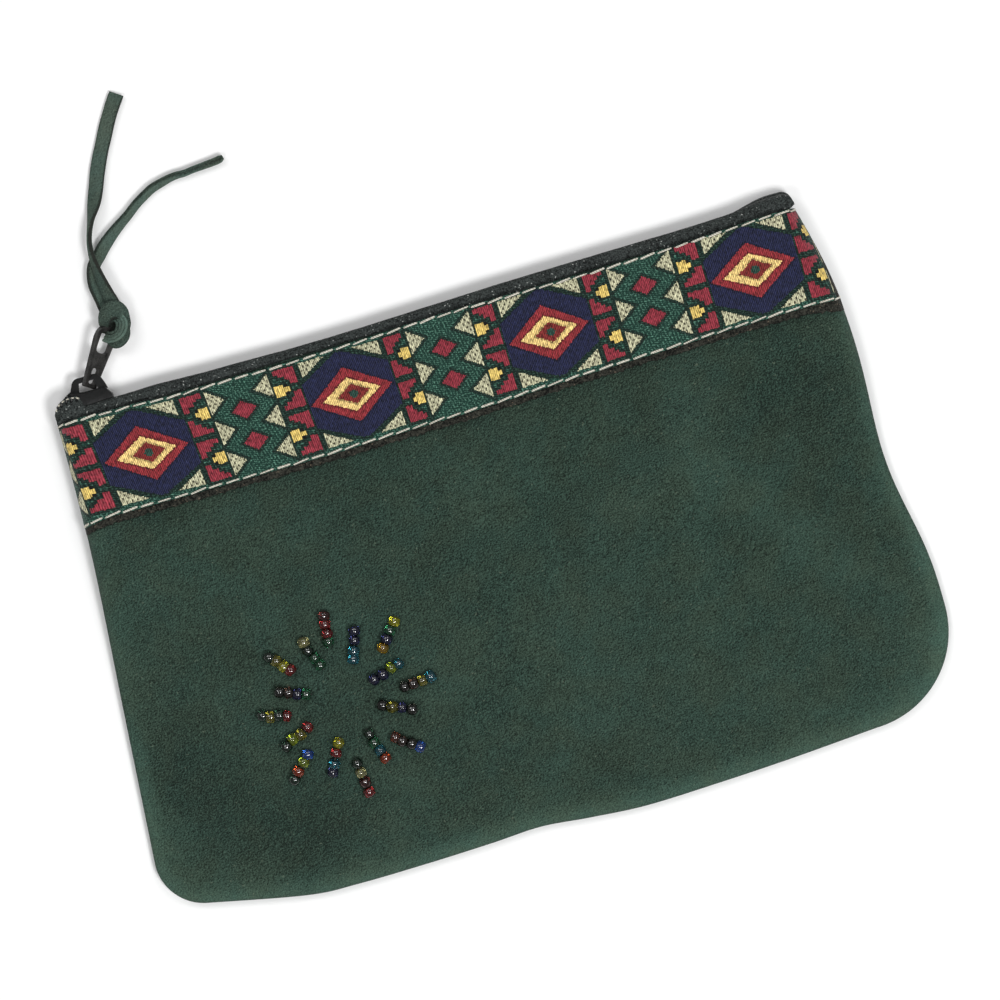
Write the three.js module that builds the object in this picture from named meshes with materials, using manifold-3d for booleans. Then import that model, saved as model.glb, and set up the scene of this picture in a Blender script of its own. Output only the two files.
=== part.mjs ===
// Flat suede pouch: a woven trim ribbon, a zip along the top edge, a knotted lace on the zip's
// pull tab and a sunburst of sewn-on glass beads. Sizes are in millimetres. The pouch lies on
// its back panel: +X runs along the zip, +Y points to the zip and +Z up from the surface.

import * as THREE from 'three';
import { mergeVertices } from 'three/addons/utils/BufferGeometryUtils.js';
import Module from 'manifold-3d';

const wasm = await Module();
wasm.setup();

// Outline of the body
const TOP_WIDTH = 183; // along the zip
const FOOT_WIDTH = 198.6; // at the widest, just above the bottom corners
const POUCH_HEIGHT = 128.5; // from the zip's fold to the bottom edge
const LEFT_CORNER = 12; // radius of the bottom left corner
const RIGHT_CORNER = 23.8; // radius of the bottom right corner
const LEFT_CORNER_LIFT = 6.5; // how far the left corner sits above the bottom edge
const RIGHT_CORNER_LIFT = 1.5;
const LEFT_CORNER_TURN = 75; // degrees that the left corner turns before the edge slopes on
// Bow and shorter waves of each side: millimetres to the right, for one, two, three half waves and on
const LEFT_WAVES = [0.93, 0.33, 0.09];
const RIGHT_WAVES = [0.95, 1.47, 0.77, -0.42, 0.19];
// Slack of the bottom edge: share of its length, and lift
const BOTTOM_SLACK = [
  [0.145, 1.75], [0.22, 0.9], [0.325, 0.85], [0.42, 1.15], [0.495, 1.6], [0.568, 0.35], [0.65, -0.7],
  [0.76, -0.42], [0.87, 0.25],
];

// Layers and thickness
const SUEDE = 1.1;
const TAPE = 0.5;
const STRIP = 0.4; // backing strip under the ribbon
const PLY_GAP = 0.1; // between layers that are sewn together
const BELLY = 10.8; // height of the front face over the middle of the pouch
const EDGE_THICKNESS = 5; // across the turned bottom seam
const SEAM_ROLL = 3.5; // radius of the rolled seam edge
const DOME_REACH = 34; // distance from the seam at which the face stops rising
const SETTLE = 44; // length below the trim over which the face changes to its own crown

// Trim
const BAND = 3; // zip tape that shows above the panel
const RIBBON_WIDTH = 25;
const RIBBON_BASE = 0.6;
const RIBBON_RELIEF = 0.08; // each colour stands this much above the one around it
const RIBBON_RISE = 0.2; // the ribbon's edge laps this far over the panel's edge
const RIBBON_END = 2.5; // the flat of the ribbon stops this far from the side seam
const STRIP_SHOWS = 2.5; // backing strip that shows below the ribbon
const REPEAT = 50.2; // one repeat of the woven pattern
const FIRST_MEDALLION = -72.4; // place of the leftmost medallion
const STITCH = 3;
const STITCH_GAP = 0.6;
const STITCH_INSET = 0.95; // stitch row from the ribbon's edge
const THREAD = 0.6;

// Zip
const TAPE_DROP = 12; // depth of the tape behind the panel, from the fold
const TAPE_LEFT = 0.2; // the tape ends this far inside the panel's left corner
const TAPE_RIGHT = 0.7; // and runs this far past the right corner
const FOLD_RADIUS = 0.5;
const END_RADIUS = 3.6; // length of the left end that turns down
const END_DROP = 3; // and how far it turns down
const FLARE = 3; // the fold stands up by this much left of the slider
const FLARE_RUN = 0.9; // length over which it rises
const HUMP = 2.3; // rise of the zip's right end, at the back
const HUMP_FRONT = 0.35; // share of that rise at the front
const HUMP_LENGTH = 26; // raised stretch
const HUMP_RUN = 18; // length over which it rises
const COIL_DEPTH = 1.8;
const COIL_SPINE = 0.5;
const COIL_REACH = 1.65; // outer face of a coil from the middle of the zip
const TOOTH_PITCH = 2.6;
const TOOTH_GAP = 0.4; // between a tooth and the one it meshes with
const TOOTH_OVERLAP = 0.2; // tooth tips cross the middle by this much
const STOP_LENGTH = 1.6;
const LEFT_STOP_INSET = 1.2; // top stops from the tape's left end
const RIGHT_STOP_INSET = 5;

// Slider and its pull tab
const SLIDER_INSET = 9.2; // middle of the shut slider from the tape's left end
const SLIDER_LENGTH = 10.4;
const SLIDER_WALL = 0.45; // side flange
const SLIDER_PLATE = 1.1; // lower plate
const SLIDER_TOP = 2.6; // upper plate
const PLATE_SLOPE = 1.1; // the upper plate's ends slope in by this much
const PLATE_RIM = 1.2; // height of the upper plate's ends
const RUN_CLEAR = 0.35; // the tape and the coils run this clear of the slider
const SIDE_CLEAR = 0.25; // slider to the tapes and the shut coils, sideways
const SPREAD_CLEAR = 0.15; // slider to the parted coils, sideways
const POST_HALF = 0.45;
const BRIDGE_LENGTH = 9.2;
const BRIDGE_DEPTH = 1;
const BRIDGE_FOOT = 0.6; // solid foot under the bridge's window
const BRIDGE_SPAN = 4.6; // length of the window
const BRIDGE_BAR = 1.3;
const HINGE_SHIFT = 0.4; // the tab hangs this far right of the window's middle
const TAB_LENGTH = 15.4;
const TAB_BAR = 1; // end bar in the bridge
const TAB_PLAY = 1.3; // between the tab and the bridge
const TAB_HEAD = 6.8; // width at the far end
const TAB_PLATE = 1;
const TAB_RAIL = 0.95; // rails beside the windows
const BAIL_WINDOW = 3.9;
const TAB_FACE = 3.8; // solid face between the two windows
const TAB_END = 1.4; // bar beyond the lace window
const TAB_LEAN = 55.5; // degrees from the zip
const TAB_TWIST = 38; // degrees about its own length

// Lace
const LACE_WIDTH = 3.2;
const LACE_THICK = 1.2;
const KNOT = [7.5, 11.2, 6.6]; // size of the knot
const KNOT_BEYOND = 0.65; // middle of the knot beyond the tab's end
const KNOT_ASIDE = 1.35; // and to the right of the tab's length
const KNOT_CLEAR = 0.3;
// Routes of the two tails: across and beyond the knot's end, and above the surface they come to lie on.
const LEFT_TAIL = [
  [1, 1, 5.5], [0.1, 4, 5.3], [-0.5, 7.75, 4.9], [-0.7, 11.3, 4.5], [-0.4, 14.2, 4], [0.65, 17.85, 3.1],
  [2.5, 21.3, 2], [4.15, 24.75, 1.1], [5.5, 28.35, 0.4], [7, 31.85, 0.1], [9.75, 37, 0],
  [12.65, 42.1, 0], [15.6, 46.5, 0],
];
const RIGHT_TAIL = [
  [-1.6, 0.6, 3.5], [-2.05, 3.5, 3.1], [-1.8, 6.65, 2.5], [-0.7, 9.1, 2], [0.9, 10.85, 1.6],
  [2.7, 12.65, 1.3], [5.35, 14.85, 1], [7.85, 16.6, 0.7], [10.3, 18.2, 0.4], [12.85, 20.05, 0.2],
  [15.25, 21.45, 0.1], [18.5, 22.95, 0], [21.85, 23.75, 0], [25.9, 24, 0], [30, 24.35, 0],
  [35.7, 24.95, 0],
];

// Bead sunburst
const BURST = [-44.4, -20.9]; // middle of the sunburst
const STRINGS = 16;
const BURST_START = 92; // degrees of the first string
const OUTER_RING = 17.8; // middle of the longer reaching strings
const INNER_RING = 13.4;
const BEAD_LENGTH = 2.2;
const BEAD_RADIUS = 1.55;
const BEAD_WAIST = 0.55; // share of the radius where two beads meet
const BEAD_FLAT = 0.4; // share of a bead's length at its full radius
const BEADS = 4; // beads on each string
const BEAD_SEAT = 0.2; // beads lie this far above the suede
// Hand sewing: how many degrees each string is moved round, how far it is moved out in
// millimetres, and how many degrees it leans.
const SEWING = [
  [-3, 1, -5], [-4, 0.8, 3], [-4, 0.6, 0], [-6, -0.2, 10], [-8, -0.4, -6], [-6, 0.4, 9],
  [-7, 0.7, 10], [-5, 0.5, 4], [-1, 0.3, 10], [1, -0.5, 0], [0.5, -0.2, 7], [6, -1, -4],
  [2, -0.2, 3], [2.5, -0.7, -7], [-2, 1.4, 4], [-1.5, 1.2, 0],
];

// Making of the solids
const OVERSHOOT = 1; // cutting bodies run past the faces by this much
const MIN_STEP = 0.05; // stations closer than this are left out
const ROLL_TURNS = [30, 60, 90]; // degrees round the rolled seam
const DOME_SHARES = [0.18, 0.42, 0.7, 1]; // of the dome's reach
const CROWN_SHARES = [1 / 3, 2 / 3, 1]; // of the way on to the top edge
const FOLD_TURNS = [0, 30, 60, 90]; // degrees round the tape's fold
const WINDOW_ROUND = 0.6; // share of a window's half width that its corners take

// Places that follow from the sizes
const COIL_SPREAD = POST_HALF + SIDE_CLEAR + TOOTH_OVERLAP; // each coil moves aside to pass the post
const SLIDER_HALF = COIL_REACH + COIL_SPREAD + SPREAD_CLEAR + SLIDER_WALL; // at the wide end
const SLIDER_TAIL = COIL_REACH + SIDE_CLEAR + SLIDER_WALL; // at the narrow end
const TOOTH = TOOTH_PITCH / 2 - TOOTH_GAP;
const BRIDGE_WINDOW = TAB_BAR + TAB_PLAY;
const BAIL_WIDTH = BRIDGE_DEPTH + TAB_PLAY;
const TAB_NECK = BAIL_WIDTH + 2 * TAB_RAIL; // width at the bridge
const FOLD_Y = POUCH_HEIGHT / 2;
const BOTTOM_Y = -POUCH_HEIGHT / 2;
const PANEL_TOP = FOLD_Y - BAND;
const LEG_IN = SLIDER_HALF + SIDE_CLEAR; // inner face of a tape's leg from the zip's middle
const LEG_OUT = LEG_IN + TAPE;
const ZIP_Z = LEG_OUT + PLY_GAP + SUEDE; // middle of the zip above the surface
const ZIP_THICKNESS = 2 * ZIP_Z;
const RIBBON_TOP = PANEL_TOP + RIBBON_RISE;
const RIBBON_BOTTOM = RIBBON_TOP - RIBBON_WIDTH;
const STRIP_BOTTOM = RIBBON_BOTTOM - STRIP_SHOWS;
const STRIP_Z = ZIP_THICKNESS + PLY_GAP;
const RIBBON_Z = STRIP_Z + STRIP + PLY_GAP;
const RIBBON_FACE = RIBBON_Z + RIBBON_BASE;
const LEFT_CENTRE_Y = BOTTOM_Y + LEFT_CORNER_LIFT + LEFT_CORNER;
const RIGHT_CENTRE_Y = BOTTOM_Y + RIGHT_CORNER_LIFT + RIGHT_CORNER;
const TAPE_X0 = -TOP_WIDTH / 2 + TAPE_LEFT;
const TAPE_X1 = TOP_WIDTH / 2 + TAPE_RIGHT;
const SLIDER_X = TAPE_X0 + SLIDER_INSET;
const FLARE_X = SLIDER_X - SLIDER_LENGTH / 2 - RUN_CLEAR; // the fold is level up to here
const LEG_END = SEAM_ROLL + SUEDE; // the tape's leg stops this far inside the side seam
const TAPE_SPLIT = POST_HALF + SIDE_CLEAR; // half the gap between the two tapes
const COIL_TOP = FOLD_Y - TAPE - PLY_GAP;
const STOP_X0 = TAPE_X0 + LEFT_STOP_INSET;
const STOP_X1 = TAPE_X1 - RIGHT_STOP_INSET;
const PLATE_BASE = FOLD_Y + RUN_CLEAR; // underside of the slider's upper plate
const PLATE_FACE = PLATE_BASE + SLIDER_TOP;
const CAVITY_FLOOR = COIL_TOP - COIL_DEPTH - RUN_CLEAR;
const SHOULDER_X = SLIDER_X - SLIDER_LENGTH / 10; // the slider is wide up to here
const TAIL_X = SLIDER_X + SLIDER_LENGTH / 4; // and narrow from here
const POST_X = SLIDER_X - SLIDER_LENGTH / 3;
const POST_LENGTH = SLIDER_LENGTH / 4;
const HINGE = new THREE.Vector3(
  SLIDER_X + HINGE_SHIFT, PLATE_FACE + BRIDGE_FOOT + BRIDGE_WINDOW / 2, ZIP_Z);

const { lerp, smoothstep, degToRad, clamp } = THREE.MathUtils;

const KNOT_AT = new THREE.Vector3(TAB_LENGTH + KNOT_BEYOND, -KNOT_ASIDE, 0)
  .applyAxisAngle(new THREE.Vector3(0, 0, 1), degToRad(TAB_LEAN)).add(HINGE);
const LIE_Z = LACE_THICK / 2 + PLY_GAP; // middle of a tail that lies on the surface

// Solid helpers

function solidOf(geometry) {
  const plain = geometry.clone();
  plain.deleteAttribute('normal');
  plain.deleteAttribute('uv');
  const merged = mergeVertices(plain, 1e-4);
  return new wasm.Manifold(new wasm.Mesh({
    numProp: 3,
    vertProperties: new Float32Array(merged.attributes.position.array),
    triVerts: new Uint32Array(merged.index.array),
  }));
}

function geometryOf(solid) {
  const mesh = solid.getMesh();
  const geometry = new THREE.BufferGeometry();
  geometry.setAttribute('position', new THREE.BufferAttribute(mesh.vertProperties, 3));
  geometry.setIndex(new THREE.BufferAttribute(mesh.triVerts, 1));
  return geometry;
}

function meshOf(points, faces) {
  const geometry = new THREE.BufferGeometry();
  geometry.setFromPoints(points);
  geometry.setIndex(faces.flat());
  return geometry;
}

// A closed sheet between an upper and a lower grid of points of the same layout.
function sheetSolid(upper, lower) {
  const rows = upper.length;
  const columns = upper[0].length;
  const points = [...upper.flat(), ...lower.flat()];
  const at = (side, row, column) => (side * rows + row) * columns + column;
  const faces = [];
  const quad = (a, b, c, d) => faces.push([a, c, b], [a, d, c]);
  for (let r = 0; r < rows - 1; r += 1) {
    for (let c = 0; c < columns - 1; c += 1) {
      quad(at(0, r, c), at(0, r, c + 1), at(0, r + 1, c + 1), at(0, r + 1, c));
      quad(at(1, r, c), at(1, r + 1, c), at(1, r + 1, c + 1), at(1, r, c + 1));
    }
    quad(at(0, r, 0), at(0, r + 1, 0), at(1, r + 1, 0), at(1, r, 0));
    quad(at(0, r + 1, columns - 1), at(0, r, columns - 1), at(1, r, columns - 1), at(1, r + 1, columns - 1));
  }
  for (let c = 0; c < columns - 1; c += 1) {
    quad(at(0, 0, c + 1), at(0, 0, c), at(1, 0, c), at(1, 0, c + 1));
    quad(at(0, rows - 1, c), at(0, rows - 1, c + 1), at(1, rows - 1, c + 1), at(1, rows - 1, c));
  }
  return meshOf(points, faces);
}

// A closed run through rings of points, with its ends filled by the flat section's triangles.
function ringSolid(rings, section) {
  const ring = section.length;
  const faces = [];
  for (let s = 0; s < rings.length - 1; s += 1) {
    for (let k = 0; k < ring; k += 1) {
      const a = s * ring + k;
      const b = s * ring + ((k + 1) % ring);
      faces.push([a, b, b + ring], [a, b + ring, a + ring]);
    }
  }
  const flat = section.map(([u, v]) => new THREE.Vector2(u, v));
  const last = (rings.length - 1) * ring;
  for (const [a, b, c] of THREE.ShapeUtils.triangulateShape(flat, [])) {
    faces.push([a, c, b], [last + a, last + b, last + c]);
  }
  return meshOf(rings.flat(), faces);
}

// A run of one section, given as [y, z] points, through stations along X.
function runSolid(section, stations, place) {
  return ringSolid(stations.map((x) => section.map(([y, z]) => place(x, y, z))), section);
}

function shapeOf(points) {
  return new THREE.Shape(points.map(([x, y]) => new THREE.Vector2(x, y)));
}

function prism(shape, z0, z1, curveSegments = 6) {
  const geometry = new THREE.ExtrudeGeometry(shape, { depth: z1 - z0, bevelEnabled: false, curveSegments });
  return geometry.translate(0, 0, z0);
}

// A slab whose outline is drawn in X and Z, standing from y0 to y1.
function slab(shape, y0, y1) {
  return prism(shape, 0, y1 - y0).rotateX(Math.PI / 2).translate(0, y1, 0);
}

function block(x0, x1, y0, y1, z0, z1) {
  const geometry = new THREE.BoxGeometry(x1 - x0, y1 - y0, z1 - z0);
  return geometry.translate((x0 + x1) / 2, (y0 + y1) / 2, (z0 + z1) / 2);
}

const pouch = new THREE.Group();

function add(name, geometry, color, roughness, metalness = 0) {
  const material = new THREE.MeshStandardMaterial({ color, roughness, metalness });
  const mesh = new THREE.Mesh(geometry, material);
  mesh.name = name;
  pouch.add(mesh);
  return mesh;
}

// Sewn outline of the body, down the left side, along the bottom and up the right side

function waves(list, share) {
  return list.reduce((sum, height, k) => sum + height * Math.sin((k + 1) * Math.PI * share), 0);
}

function leftX(y) {
  const share = (PANEL_TOP - y) / (PANEL_TOP - LEFT_CENTRE_Y);
  return -lerp(TOP_WIDTH / 2, FOOT_WIDTH / 2, share) + waves(LEFT_WAVES, share);
}

function rightX(y) {
  const share = (PANEL_TOP - y) / (PANEL_TOP - RIGHT_CENTRE_Y);
  return lerp(TOP_WIDTH / 2, FOOT_WIDTH / 2, share) + waves(RIGHT_WAVES, share);
}

function sideCurve(edgeX, fromY, toY) {
  const points = [];
  for (let k = 0; k <= 12; k += 1) {
    const y = lerp(fromY, toY, k / 12);
    points.push(new THREE.Vector2(edgeX(y), y));
  }
  return new THREE.SplineCurve(points);
}

function arcCurve(x, y, radius, fromDegrees, toDegrees) {
  return new THREE.EllipseCurve(x, y, radius, radius, degToRad(fromDegrees), degToRad(toDegrees));
}

function bottomCurve(leftEnd, rightEnd) {
  const between = BOTTOM_SLACK.map(([share, lift]) => (
    new THREE.Vector2(lerp(leftEnd.x, rightEnd.x, share), BOTTOM_Y + lift)));
  return new THREE.SplineCurve([leftEnd, ...between, rightEnd]);
}

function sewnEdge() {
  const leftArc = arcCurve(
    -FOOT_WIDTH / 2 + LEFT_CORNER, LEFT_CENTRE_Y, LEFT_CORNER, 180, 180 + LEFT_CORNER_TURN);
  const rightArc = arcCurve(FOOT_WIDTH / 2 - RIGHT_CORNER, RIGHT_CENTRE_Y, RIGHT_CORNER, 270, 360);
  const curves = [
    [sideCurve(leftX, PANEL_TOP, LEFT_CENTRE_Y), 10],
    [leftArc, 5],
    [bottomCurve(leftArc.getPoint(1), rightArc.getPoint(0)), 20],
    [rightArc, 6],
    [sideCurve(rightX, RIGHT_CENTRE_Y, PANEL_TOP), 12],
  ];
  const edge = [];
  curves.forEach(([curve, count], piece) => {
    for (let k = piece === 0 ? 0 : 1; k <= count; k += 1) {
      const tangent = curve.getTangent(k / count);
      edge.push({ point: curve.getPoint(k / count), inward: new THREE.Vector2(-tangent.y, tangent.x) });
    }
  });
  for (const end of [edge[0], edge[edge.length - 1]]) {
    end.inward.set(Math.sign(end.inward.x), 0);
  }
  return edge;
}

const EDGE = sewnEdge();

function sewnDistance(x, y) {
  const here = new THREE.Vector3(x, y, 0);
  const near = new THREE.Vector3();
  let best = Infinity;
  for (let k = 0; k < EDGE.length - 1; k += 1) {
    const a = new THREE.Vector3(EDGE[k].point.x, EDGE[k].point.y, 0);
    const b = new THREE.Vector3(EDGE[k + 1].point.x, EDGE[k + 1].point.y, 0);
    new THREE.Line3(a, b).closestPointToPoint(here, true, near);
    best = Math.min(best, near.distanceTo(here));
  }
  return best;
}

// Heights of the two panels

function seamHeight(y) {
  return lerp(EDGE_THICKNESS / 2, ZIP_Z, (y - BOTTOM_Y) / (PANEL_TOP - BOTTOM_Y));
}

function roll(distance, radius) {
  const left = 1 - clamp(distance / radius, 0, 1);
  return Math.sqrt(1 - left * left);
}

function crownHeight(y, distance) {
  const trim = smoothstep(y, STRIP_BOTTOM - SETTLE, STRIP_BOTTOM);
  const rim = lerp(EDGE_THICKNESS, ZIP_THICKNESS, trim);
  const middle = lerp(BELLY, ZIP_THICKNESS, trim);
  return lerp(rim, middle, smoothstep(distance, 0, DOME_REACH));
}

function frontFace(x, y) {
  const distance = sewnDistance(x, y);
  const seam = seamHeight(y) + PLY_GAP;
  return lerp(seam, crownHeight(y, distance), roll(distance, SEAM_ROLL));
}

function frontLining(x, y) {
  const distance = sewnDistance(x, y);
  const seam = seamHeight(y) + PLY_GAP;
  return lerp(seam, crownHeight(y, distance) - SUEDE, roll(distance - SUEDE, SEAM_ROLL - SUEDE));
}

function backFace(x, y) {
  return lerp(seamHeight(y), 0, roll(sewnDistance(x, y), SEAM_ROLL));
}

function backLining(x, y) {
  return lerp(seamHeight(y), SUEDE, roll(sewnDistance(x, y) - SUEDE, SEAM_ROLL - SUEDE));
}

// Grid from the sewn edge, moved in by an inset, to a stretch in the middle of the top edge.
function panelGrid(inset, height) {
  const steps = ROLL_TURNS.map((turn) => (SEAM_ROLL - inset) * (1 - Math.cos(degToRad(turn))));
  const domeSteps = DOME_SHARES.map((share) => SEAM_ROLL - inset + share * DOME_REACH);
  const depths = [0, ...steps, ...domeSteps];
  const targetHalf = (TOP_WIDTH - POUCH_HEIGHT) / 2;
  const columns = EDGE.map(({ point, inward }, k) => {
    const start = point.clone().addScaledVector(inward, inset);
    const target = new THREE.Vector2(lerp(-targetHalf, targetHalf, k / (EDGE.length - 1)), PANEL_TOP);
    const way = target.clone().sub(start);
    const outer = depths.map((depth) => depth / way.length());
    const crown = CROWN_SHARES.map((share) => lerp(outer[outer.length - 1], 1, share));
    const shares = [...outer, ...crown];
    return shares.map((share) => {
      const spot = start.clone().addScaledVector(way, share);
      return new THREE.Vector3(spot.x, spot.y, height(spot.x, spot.y));
    });
  });
  return columns;
}

function frontPanel() {
  return sheetSolid(panelGrid(0, frontFace), panelGrid(SUEDE, frontLining));
}

function backPanel() {
  return sheetSolid(panelGrid(SUEDE, backLining), panelGrid(0, backFace));
}

add('front_panel', frontPanel(), 0x2d4237, 0.95);
add('back_panel', backPanel(), 0x2d4237, 0.95);

// Trim: backing strip, woven ribbon and two rows of stitching

function bandShape(y0, y1) {
  const left = (y) => leftX(y) + RIBBON_END;
  const right = (y) => rightX(y) - RIBBON_END;
  return shapeOf([[left(y0), y0], [right(y0), y0], [right(y1), y1], [left(y1), y1]]);
}

function diamond(x, y, halfX, halfY) {
  return [[x + halfX, y], [x, y + halfY], [x - halfX, y], [x, y - halfY]];
}

function mirrored(points, signX, signY) {
  const turned = points.map(([x, y]) => [x * signX, y * signY]);
  return signX * signY < 0 ? turned.reverse() : turned;
}

// Woven motifs of one repeat about its medallion, as [height step, points] pairs.
function repeatMotifs() {
  const motifs = [
    [1, [[0, 10.5], [-10.4, 4.9], [-10.4, -4.9], [0, -10.5], [10.4, -4.9], [10.4, 4.9]]],
    [2, diamond(0, 0, 10.06, 6.85)],
    [3, diamond(0, 0, 7.1, 4.17)],
    [4, diamond(0, 0, 3.87, 2.35)],
    [5, diamond(0, 0, 1.04, 0.9)],
  ];
  const corner = [[10.4, 10.2], [4.5, 10.2], [10.4, 6.4]];
  const outerCell = [
    [10.9, 10.4], [10.9, 6], [12.6, 6], [12.6, 7.7], [14.5, 7.7], [14.5, 9.3], [16.3, 9.3], [16.3, 10.4]];
  const innerCell = [
    [10.9, 0.7], [16.3, 0.7], [16.3, 1.9], [14.5, 1.9], [14.5, 3.6], [12.6, 3.6], [12.6, 5.3], [10.9, 5.3]];
  const cross = [
    [13.2, 4.9], [14.1, 4.9], [14.1, 4.25], [15.3, 4.25], [15.3, 4.9], [16.2, 4.9],
    [16.2, 6.1], [15.3, 6.1], [15.3, 6.75], [14.1, 6.75], [14.1, 6.1], [13.2, 6.1]];
  const flag = (y) => [[16.7, y - 2.8], [20.9, y], [16.7, y + 2.8]];
  for (const signX of [1, -1]) {
    for (const signY of [1, -1]) {
      for (const points of [corner, outerCell, innerCell, cross, flag(7.5)]) {
        motifs.push([1, mirrored(points, signX, signY)]);
      }
    }
    motifs.push([1, mirrored(flag(0), signX, 1)]);
  }
  for (const signY of [1, -1]) {
    motifs.push([1, diamond(REPEAT / 2, 3.9 * signY, 3.36, 2.3)]);
  }
  return motifs;
}

function ribbon() {
  const middle = (RIBBON_TOP + RIBBON_BOTTOM) / 2;
  const outline = bandShape(RIBBON_BOTTOM, RIBBON_TOP);
  let cloth = solidOf(prism(outline, RIBBON_Z, RIBBON_FACE));
  const limit = solidOf(prism(outline, RIBBON_Z, RIBBON_FACE + OVERSHOOT));
  const repeats = Math.ceil(TOP_WIDTH / REPEAT) + 1;
  for (let k = -1; k < repeats; k += 1) {
    for (const [step, points] of repeatMotifs()) {
      const moved = points.map(([x, y]) => [x + FIRST_MEDALLION + k * REPEAT, y + middle]);
      const reach = moved.map(([x]) => x);
      if (Math.min(...reach) > -FOOT_WIDTH / 2 && Math.max(...reach) < FOOT_WIDTH / 2) {
        const figure = prism(shapeOf(moved), RIBBON_Z, RIBBON_FACE + step * RIBBON_RELIEF);
        cloth = cloth.add(solidOf(figure).intersect(limit));
      }
    }
  }
  return geometryOf(cloth);
}

// A row of stitches as one thread that rises at each stitch.
function stitchRow(y) {
  const x0 = leftX(y) + RIBBON_END;
  const pitch = STITCH + STITCH_GAP;
  const count = Math.floor((rightX(y) - RIBBON_END - x0) / pitch);
  const low = RIBBON_FACE + PLY_GAP;
  const high = low + THREAD / 2;
  const dip = low + THREAD / 5;
  const points = [[x0, low], [x0 + count * pitch, low]];
  for (let k = count - 1; k >= 0; k -= 1) {
    const x = x0 + k * pitch;
    points.push([x + pitch, dip], [x + STITCH, high], [x + STITCH_GAP, high]);
  }
  points.push([x0, dip]);
  const geometry = prism(shapeOf(points), -THREAD / 2, THREAD / 2);
  return geometry.rotateX(Math.PI / 2).translate(0, y, 0);
}

function backingStrip() {
  return prism(bandShape(STRIP_BOTTOM, RIBBON_TOP), STRIP_Z, STRIP_Z + STRIP);
}

add('trim_backing_strip', backingStrip(), 0x2a2228, 0.9);
add('trim_ribbon', ribbon(), 0x0f5a43, 0.75);
add('stitch_row_upper', stitchRow(RIBBON_TOP - STITCH_INSET), 0xe8e2cf, 0.8);
add('stitch_row_lower', stitchRow(RIBBON_BOTTOM + STITCH_INSET), 0xe8e2cf, 0.8);

// Zip: two tapes, two coils and their stops

// The zip's fold stands up left of the slider and turns down at its end, and the whole zip rises
// at its right end, most at the back.
function zipLift(x, y, z) {
  const start = TAPE_X1 - HUMP_LENGTH;
  const share = lerp(1, HUMP_FRONT, (z - ZIP_Z + LEG_OUT) / (2 * LEG_OUT));
  const rise = HUMP * share * smoothstep(x, start, start + HUMP_RUN);
  const flare = FLARE * (1 - smoothstep(x, FLARE_X - FLARE_RUN, FLARE_X));
  const endTurn = clamp(TAPE_X0 + END_RADIUS - x, 0, END_RADIUS);
  const drop = END_DROP * (1 - Math.sqrt(1 - (endTurn / END_RADIUS) ** 2));
  return rise + (flare - drop) * clamp((y - RIBBON_TOP) / (FOLD_Y - RIBBON_TOP), 0, 1);
}

function zipPlace(x, y, z) {
  return new THREE.Vector3(x, y + zipLift(x, y, z), z);
}

function tapeStations(x0, x1) {
  const humpStart = TAPE_X1 - HUMP_LENGTH;
  const wanted = [x0, x1];
  for (let k = 0; k <= 4; k += 1) {
    wanted.push(TAPE_X0 + END_RADIUS * (1 - Math.cos((k / 4) * Math.PI / 2)));
    wanted.push(FLARE_X - FLARE_RUN * (k / 4));
  }
  for (let k = 0; k <= 6; k += 1) {
    wanted.push(humpStart + HUMP_RUN * (k / 6));
  }
  const inside = wanted.filter((x) => x >= x0 && x <= x1).sort((a, b) => a - b);
  return inside.filter((x, k) => k === 0 || x - inside[k - 1] > MIN_STEP);
}

function tapeHalf(side) {
  const z = (offset) => ZIP_Z + side * offset;
  const corner = FOLD_TURNS.map((turn) => [
    FOLD_Y - FOLD_RADIUS * (1 - Math.cos(degToRad(turn))),
    z(LEG_OUT - FOLD_RADIUS * (1 - Math.sin(degToRad(turn)))),
  ]);
  const band = [
    [FOLD_Y - TAPE, z(TAPE_SPLIT)], [FOLD_Y, z(TAPE_SPLIT)], ...corner, [RIBBON_TOP, z(LEG_OUT)],
    [RIBBON_TOP, z(LEG_IN)], [FOLD_Y - TAPE, z(LEG_IN)],
  ];
  const leg = [
    [RIBBON_TOP + TAPE, z(LEG_IN)], [RIBBON_TOP + TAPE, z(LEG_OUT)],
    [FOLD_Y - TAPE_DROP, z(LEG_OUT)], [FOLD_Y - TAPE_DROP, z(LEG_IN)],
  ];
  const order = (section) => (side > 0 ? section : section.reverse());
  const upper = runSolid(order(band), tapeStations(TAPE_X0, TAPE_X1), zipPlace);
  const lower = runSolid(
    order(leg), tapeStations(-TOP_WIDTH / 2 + LEG_END, TOP_WIDTH / 2 - LEG_END), zipPlace);
  return geometryOf(solidOf(upper).add(solidOf(lower)));
}

// The coils part where the slider's post runs between them, and stay apart to the left end.
function coilSpread(x) {
  return COIL_SPREAD * (1 - smoothstep(x, POST_X + POST_LENGTH / 3, SLIDER_X + SLIDER_LENGTH / 10));
}

function bentCoil(geometry, side) {
  const position = geometry.attributes.position;
  for (let k = 0; k < position.count; k += 1) {
    const x = position.getX(k);
    const z = position.getZ(k) + side * coilSpread(x);
    position.setXYZ(k, x, position.getY(k) + zipLift(x, COIL_TOP, z), z);
  }
  return geometry;
}

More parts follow.
